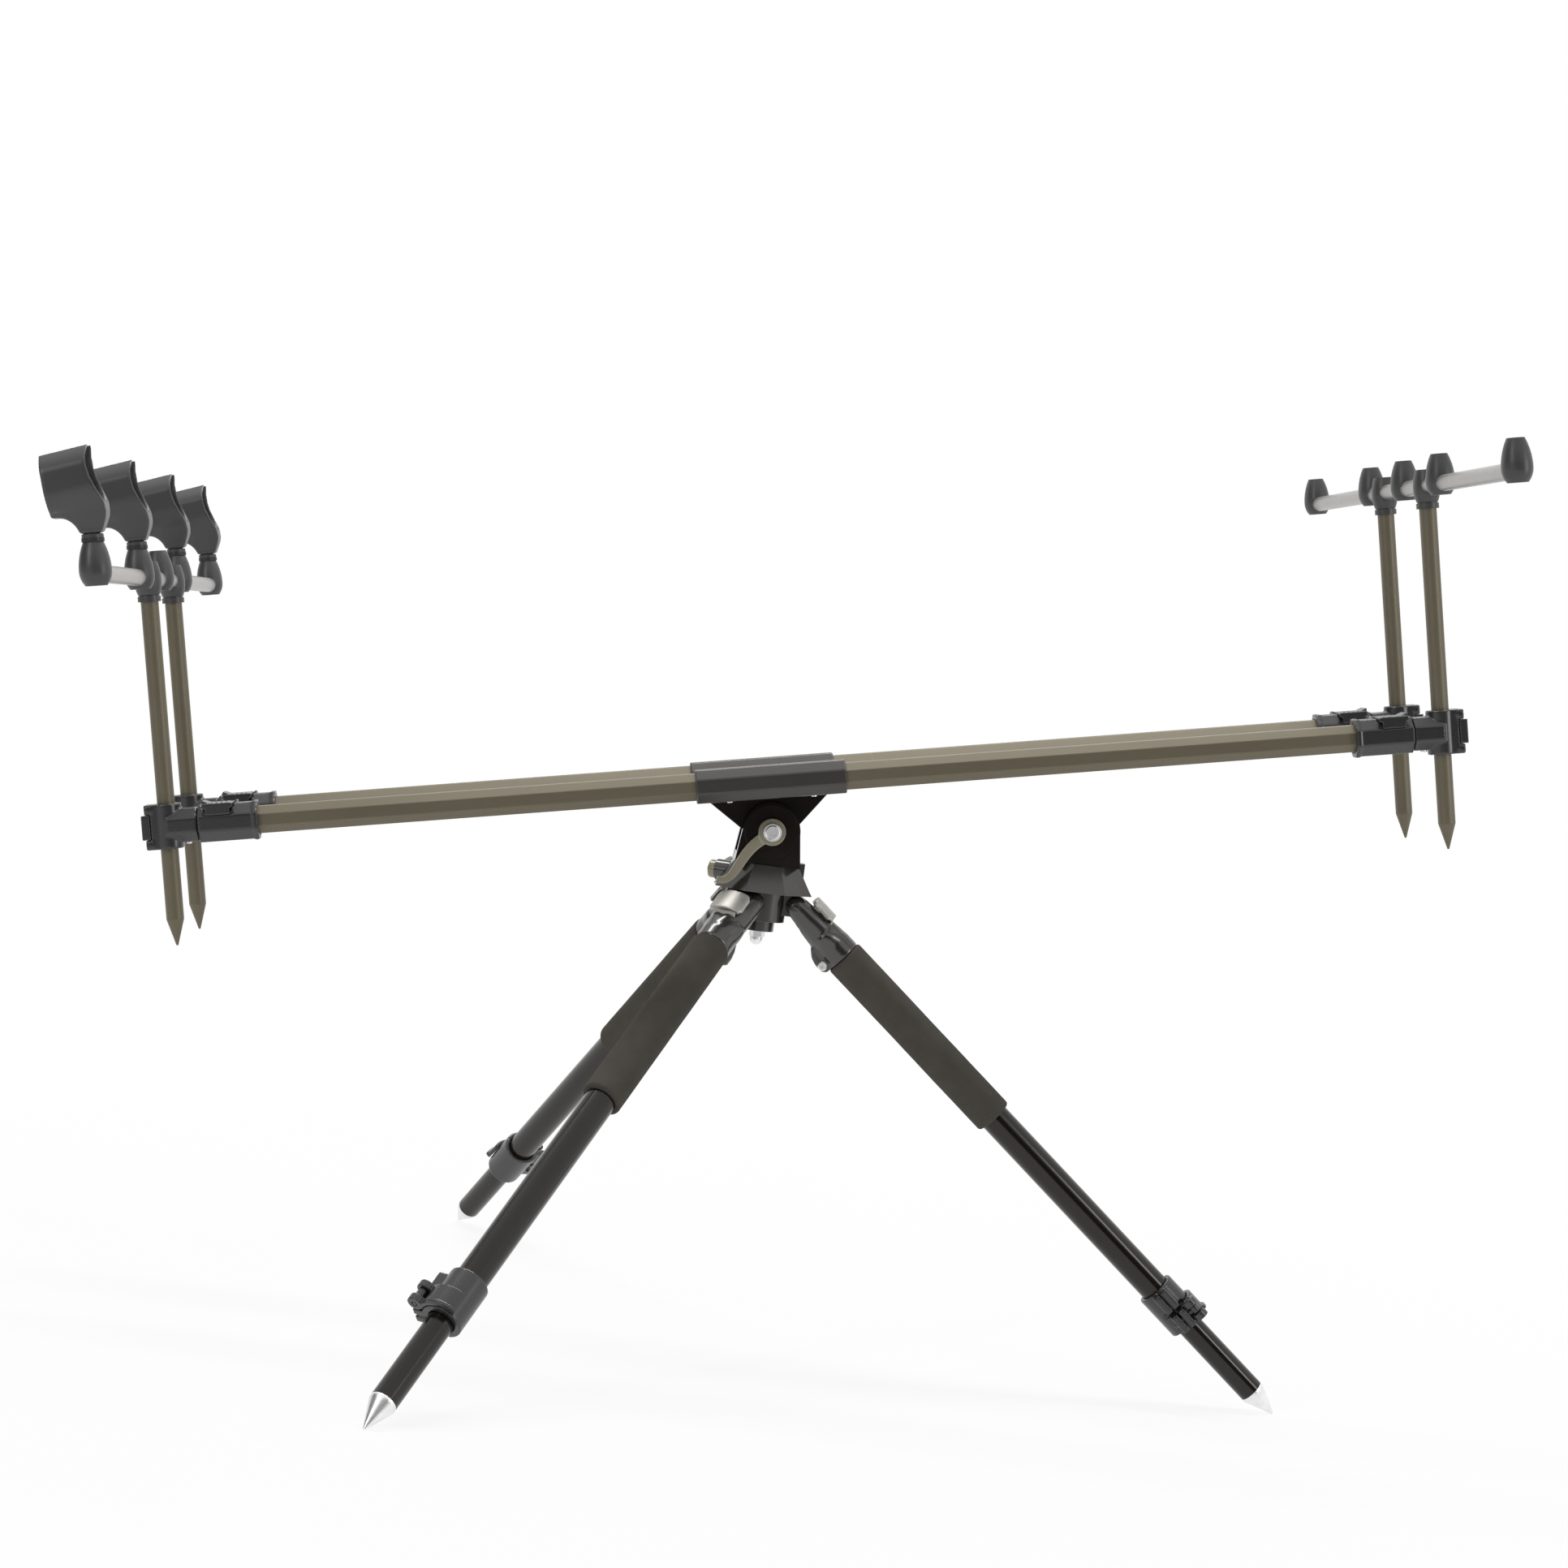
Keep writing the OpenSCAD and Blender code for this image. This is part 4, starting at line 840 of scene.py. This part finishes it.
class ROD_POD_OT_foam(bpy.types.Operator):
    """Make the foam grips, a little uneven, with rolled ends"""

    bl_idname = "rod_pod.foam"
    bl_label = "Foam grips"

    def execute(self, context):
        ripple = context.scene.rod_pod_sizes.foam_ripple
        for k in LEGS:
            self.grip(k, ripple)
        return {"FINISHED"}

    def grip(self, k, ripple):
        """Grip of one leg, round its outer tube."""
        node = f"foam_grip_{k}"
        pivot, down, _, _ = leg_frame(k)
        top, foot, bore, radius = reach(node, pivot, down)
        roll = 2.6 * MM
        steps, count = 120, 96
        sharp = 60
        arc = [math.radians(a) for a in range(0, 91, 15)]
        profile = [(top, bore)]
        profile += [(top + roll * (1 - math.sin(a)), radius - roll * (1 - math.cos(a)))
                    for a in reversed(arc)]
        profile += [(top + roll + (foot - top - 2 * roll) * i / steps, radius) for i in range(1, steps)]
        profile += [(foot - roll * (1 - math.sin(a)), radius - roll * (1 - math.cos(a))) for a in arc]
        profile += [(foot, bore), (top, bore)]
        bm = bmesh.new()
        loft(bm, [ring(pivot, down, r, t, count) for t, r in profile], False, False)
        bmesh.ops.remove_doubles(bm, verts=bm.verts, dist=SAME_PLACE)
        for vert in bm.verts:
            self.press(vert, pivot, down, radius, bore, ripple, k)
        bmesh.ops.recalc_face_normals(bm, faces=bm.faces)
        piece = new_piece(node + "_soft", bm)
        smooth(piece, sharp)
        finished(piece, node)

    def press(self, vert, pivot, down, radius, bore, ripple, k):
        """Moves a point of the outside in or out a little."""
        offset = vert.co - pivot
        out = offset - down * offset.dot(down)
        if out.length < (radius + bore) / 2:
            return
        broad, fine, broad_share = 28, 130, 0.7
        sink, seed_step = 0.5, 7.1
        seed = Vector((seed_step * k, 0, 0))
        wave = noise.noise(vert.co * broad + seed) * broad_share
        wave += noise.noise(vert.co * fine + seed) * (1 - broad_share)
        vert.co += out.normalized() * ripple * (wave - sink)


class ROD_POD_OT_screws(bpy.types.Operator):
    """Set the small screws of the sleeves, brackets and leg castings, and the tilt bolt's face"""

    bl_idname = "rod_pod.screws"
    bl_label = "Screws"

    def execute(self, context):
        sizes = context.scene.rod_pod_sizes
        self.grub_screws(sizes)
        self.bolt_face()
        for end in ENDS:
            self.arm_screws(end)
        for k in LEGS:
            self.pinch_screw(k, sizes)
        return {"FINISHED"}

    def bolt_face(self):
        """Raised face with a recess on the head of the tilt bolt."""
        centre = Vector(JOINTS["tilt"]["pos_m"])
        sunk = 0.4 * MM
        radius, height, recess = 7.2 * MM, 1.5 * MM, 4.2 * MM
        face = min(vertex.co.y for vertex in frame["nodes"]["tilt_bolt"].data.vertices)
        spot = Vector((centre.x, face + sunk, centre.z))
        screws("tilt_bolt_face", BODY_OF["tilt_bolt"], [(spot, -ACROSS)], radius, height, recess)

    def grub_screws(self, sizes):
        """Two screws in the underside of each sleeve."""
        sunk, share = 0.4 * MM, 0.56
        height, recess = 1.6 * MM, 1.5 * MM
        points = [vertex.co - HUB for vertex in frame["nodes"]["beam_sleeves"].data.vertices]
        foot = min(point.dot(UP) for point in points)
        half = max(point.dot(ALONG) for point in points)
        widths = [point.y for point in points]
        middle = (max(widths) + min(widths)) / 2
        side = (max(widths) - middle + min(width for width in widths if width > middle)) / 2
        spots = []
        for y in (-side, side):
            for u in (-share * half, share * half):
                spots.append((HUB + ALONG * u + ACROSS * y + UP * (foot + sunk), -UP))
        screws("sleeve_grub_screws", "beams", spots, sizes.grub_radius, height, recess)

    def arm_screws(self, end):
        """One screw under the arm of each bracket, close to the collar."""
        node = f"{end}_brackets"
        from_seam, from_edge, sunk = 10 * MM, 5 * MM, 0.3 * MM
        seam_room, flat_room = 2 * MM, 1 * MM
        radius, height, recess = 3.0 * MM, 2.0 * MM, 1.6 * MM
        points = [vertex.co - HUB for vertex in frame["nodes"][node].data.vertices]
        inner = min((point.dot(ALONG) for point in points), key=abs)
        seam = [point for point in points if abs(point.dot(ALONG) - inner) < seam_room]
        foot = min(point.dot(UP) for point in seam)
        away = math.copysign(from_seam, inner)
        spots = []
        for beam in (min, max):
            y = beam(point.y for point in seam if point.dot(UP) < foot + flat_room)
            y -= math.copysign(from_edge, y)
            spots.append((HUB + ALONG * (inner + away) + ACROSS * y + UP * (foot + sunk), -UP))
        screws(f"{end}_arm_screws", BODY_OF[node], spots, radius, height, recess)

    def pinch_screw(self, k, sizes):
        """Screw through the pinch lug of a leg's casting, with its head at the right side."""
        pivot, down, across, out = leg_frame(k)
        node = f"leg_casting_{k}"
        lug_depth = 6 * MM
        below, inside, sunk = 3.8 * MM, 4.6 * MM, 0.3 * MM
        height, recess = 3.2 * MM, 2.1 * MM
        points = [vertex.co - pivot for vertex in frame["nodes"][node].data.vertices]
        lowest = min(point.dot(out) for point in points)
        lug = [point for point in points if point.dot(out) < lowest + lug_depth]
        spans = [point.dot(down) for point in lug]
        centre = (min(spans) + max(spans)) / 2
        face = min(point.dot(across) for point in lug)
        spot = pivot + down * (centre + below) + out * (lowest + inside) + across * (face + sunk)
        screws(f"pinch_screw_{k}", f"leg_{k}", [(spot, -across)], sizes.pinch_radius, height, recess)


class ROD_POD_OT_paint(bpy.types.Operator):
    """Give the frame's own nodes their finishes"""

    bl_idname = "rod_pod.paint"
    bl_label = "Finishes"

    def execute(self, context):
        for node, piece in frame["nodes"].items():
            piece.data.materials.clear()
            piece.data.materials.append(finish(SLOT_OF[node]))
        return {"FINISHED"}


class ROD_POD_OT_stage(bpy.types.Operator):
    """Make the floor, the light and the camera"""

    bl_idname = "rod_pod.stage"
    bl_label = "Studio"

    def execute(self, context):
        studio = context.scene.rod_pod_studio
        self.floor(studio.floor_radius)
        self.world(context)
        self.lamps()
        self.flag("studio_flag", spot=(0, -4.4, 1.25), turn=0, half=(5.0, 1.25), matt=True)
        self.flag("studio_left_flag", spot=(-4.4, -1.4, 1.7), turn=math.radians(90), half=(3.0, 1.7),
                  matt=False)
        self.camera(context, studio)
        context.scene.view_settings.view_transform = "Standard"
        return {"FINISHED"}

    def seen(self, tree):
        """1 for rays from the camera, mirrors and glass, else 0."""
        path = place(tree, "ShaderNodeLightPath").outputs
        first = place(tree, "ShaderNodeMath", {0: path["Is Camera Ray"], 1: path["Is Glossy Ray"]},
                      operation="ADD")
        return place(tree, "ShaderNodeMath", {0: first.outputs[0], 1: path["Is Transmission Ray"]},
                     operation="ADD", use_clamp=True).outputs[0]

    def floor(self, radius):
        """Pale floor that keeps a soft shadow near the pod and fades to white."""
        bm = bmesh.new()
        bmesh.ops.create_circle(bm, cap_ends=True, radius=radius, segments=96)
        floor = new_piece("studio_floor", bm)
        material = bpy.data.materials.new("studio_floor")
        tree = cleared(material)
        spot = place(tree, "ShaderNodeTexCoord").outputs["Object"]
        far = place(tree, "ShaderNodeVectorMath", {0: spot}, operation="LENGTH")
        share = place(tree, "ShaderNodeMapRange", {"Value": far.outputs["Value"], "From Min": 0.5,
                                                   "From Max": 1.6, "To Min": 0.88, "To Max": 1.0})
        glow = place(tree, "ShaderNodeMath", {0: share.outputs[0], 1: self.seen(tree)}, operation="MULTIPLY")
        matt = place(tree, "ShaderNodeBsdfDiffuse", {"Color": (0.9, 0.9, 0.9, 1)})
        white = place(tree, "ShaderNodeEmission", {"Color": (1, 1, 1, 1), "Strength": 1.0})
        mix = place(tree, "ShaderNodeMixShader", {0: glow.outputs[0], 1: matt.outputs[0],
                                                  2: white.outputs[0]})
        out = place(tree, "ShaderNodeOutputMaterial", {"Surface": mix.outputs[0]})
        out.is_active_output = True
        floor.data.materials.append(material)

    def world(self, context):
        """White to the camera and to mirrors, and a plain soft light on the pod."""
        world = bpy.data.worlds.new("studio_world")
        context.scene.world = world
        tree = cleared(world)
        soft = place(tree, "ShaderNodeBackground", {"Color": (1, 1, 1, 1), "Strength": 0.42})
        white = place(tree, "ShaderNodeBackground", {"Color": (1, 1, 1, 1), "Strength": 1.0})
        mix = place(tree, "ShaderNodeMixShader", {0: self.seen(tree), 1: soft.outputs[0],
                                                  2: white.outputs[0]})
        place(tree, "ShaderNodeOutputWorld", {"Surface": mix.outputs[0]})

    def lamps(self):
        """Strip lamps above, in front at the left and at the right."""
        for name, spot, power, width, height in (
            ("lamp_above", (0, 0.8, 3.2), 66, 2.6, 0.5),
            ("lamp_left", (-2.4, -2.6, 1.8), 22, 0.3, 1.5),
            ("lamp_right", (2.6, -1.8, 1.2), 14, 0.4, 1.5),
        ):
            lamp = bpy.data.lights.new(name, "AREA")
            lamp.energy = power
            lamp.shape = "RECTANGLE"
            lamp.size = width
            lamp.size_y = height
            holder = bpy.data.objects.new(name, lamp)
            holder.location = spot
            holder.rotation_mode = "QUATERNION"
            holder.rotation_quaternion = (HUB - Vector(spot)).to_track_quat("-Z", "Y")
            bpy.context.scene.collection.objects.link(holder)

    def flag(self, name, spot, turn, half, matt):
        """Dark card that keeps the pod's faces from going pale; the camera doesn't see it.

        half is half its width and height; a card that isn't matt shows in mirrors only.
        """
        bm = bmesh.new()
        bmesh.ops.create_grid(bm, x_segments=1, y_segments=1, size=1)
        stand = Matrix.Rotation(turn, 4, "Z") @ Matrix.Rotation(math.radians(-90), 4, "X")
        stand = Matrix.Translation(spot) @ stand @ Matrix.Diagonal((*half, 1, 1))
        bmesh.ops.transform(bm, matrix=stand, verts=bm.verts)
        flag = new_piece(name, bm)
        material = bpy.data.materials.new(name)
        material.use_nodes = True
        shade = material.node_tree.nodes["Principled BSDF"]
        shade.inputs["Base Color"].default_value = (0.03, 0.03, 0.03, 1)
        shade.inputs["Roughness"].default_value = 1
        flag.data.materials.append(material)
        flag.visible_camera = False
        flag.visible_shadow = False
        flag.visible_diffuse = matt

    def camera(self, context, studio):
        """Camera at the photograph's viewing angle."""
        forward = Vector((math.sin(studio.yaw) * math.cos(studio.pitch),
                          math.cos(studio.yaw) * math.cos(studio.pitch), -math.sin(studio.pitch)))
        level = Vector((math.cos(studio.yaw), -math.sin(studio.yaw), 0))
        above = level.cross(forward)
        right = math.cos(studio.roll) * level + math.sin(studio.roll) * above
        top = math.cos(studio.roll) * above - math.sin(studio.roll) * level
        lens = bpy.data.cameras.new("studio_camera")
        lens.sensor_width = 36
        lens.lens = lens.sensor_width * studio.focal
        lens.clip_end = 100
        camera = bpy.data.objects.new("studio_camera", lens)
        turn = Matrix((right, top, -forward)).transposed().to_4x4()
        camera.matrix_world = Matrix.Translation(HUB + Vector(studio.eye)) @ turn
        context.scene.collection.objects.link(camera)
        context.scene.camera = camera


class ROD_POD_PT_panel(bpy.types.Panel):
    """Lists the pod's pieces in the sidebar"""

    bl_idname = "ROD_POD_PT_panel"
    bl_label = "Rod Pod"
    bl_space_type = "VIEW_3D"
    bl_region_type = "UI"
    bl_category = "Rod Pod"

    def draw(self, context):
        for operator in OPERATORS:
            self.layout.operator(operator.bl_idname)
        for group in SETTINGS:
            box = self.layout.box()
            settings = getattr(context.scene, group)
            for name in settings.bl_rna.properties.keys():
                if name not in ("rna_type", "name"):
                    box.prop(settings, name)


OPERATORS = (
    ROD_POD_OT_paint,
    ROD_POD_OT_beams,
    ROD_POD_OT_head,
    ROD_POD_OT_cam_levers,
    ROD_POD_OT_rests,
    ROD_POD_OT_castings,
    ROD_POD_OT_legs,
    ROD_POD_OT_foam,
    ROD_POD_OT_screws,
    ROD_POD_OT_stage,
)
SETTINGS = {
    "rod_pod_sizes": RodPodSizes,
    "rod_pod_colours": RodPodColours,
    "rod_pod_studio": RodPodStudio,
}
CLASSES = (*SETTINGS.values(), *OPERATORS, ROD_POD_PT_panel)


def register():
    for cls in CLASSES:
        bpy.utils.register_class(cls)
    for name, cls in SETTINGS.items():
        setattr(bpy.types.Scene, name, PointerProperty(type=cls))


def unregister():
    for name in SETTINGS:
        delattr(bpy.types.Scene, name)
    for cls in reversed(CLASSES):
        bpy.utils.unregister_class(cls)


def main():
    register()
    for operator in OPERATORS:
        group, name = operator.bl_idname.split(".")
        getattr(getattr(bpy.ops, group), name)()


if __name__ == "__main__":
    main()
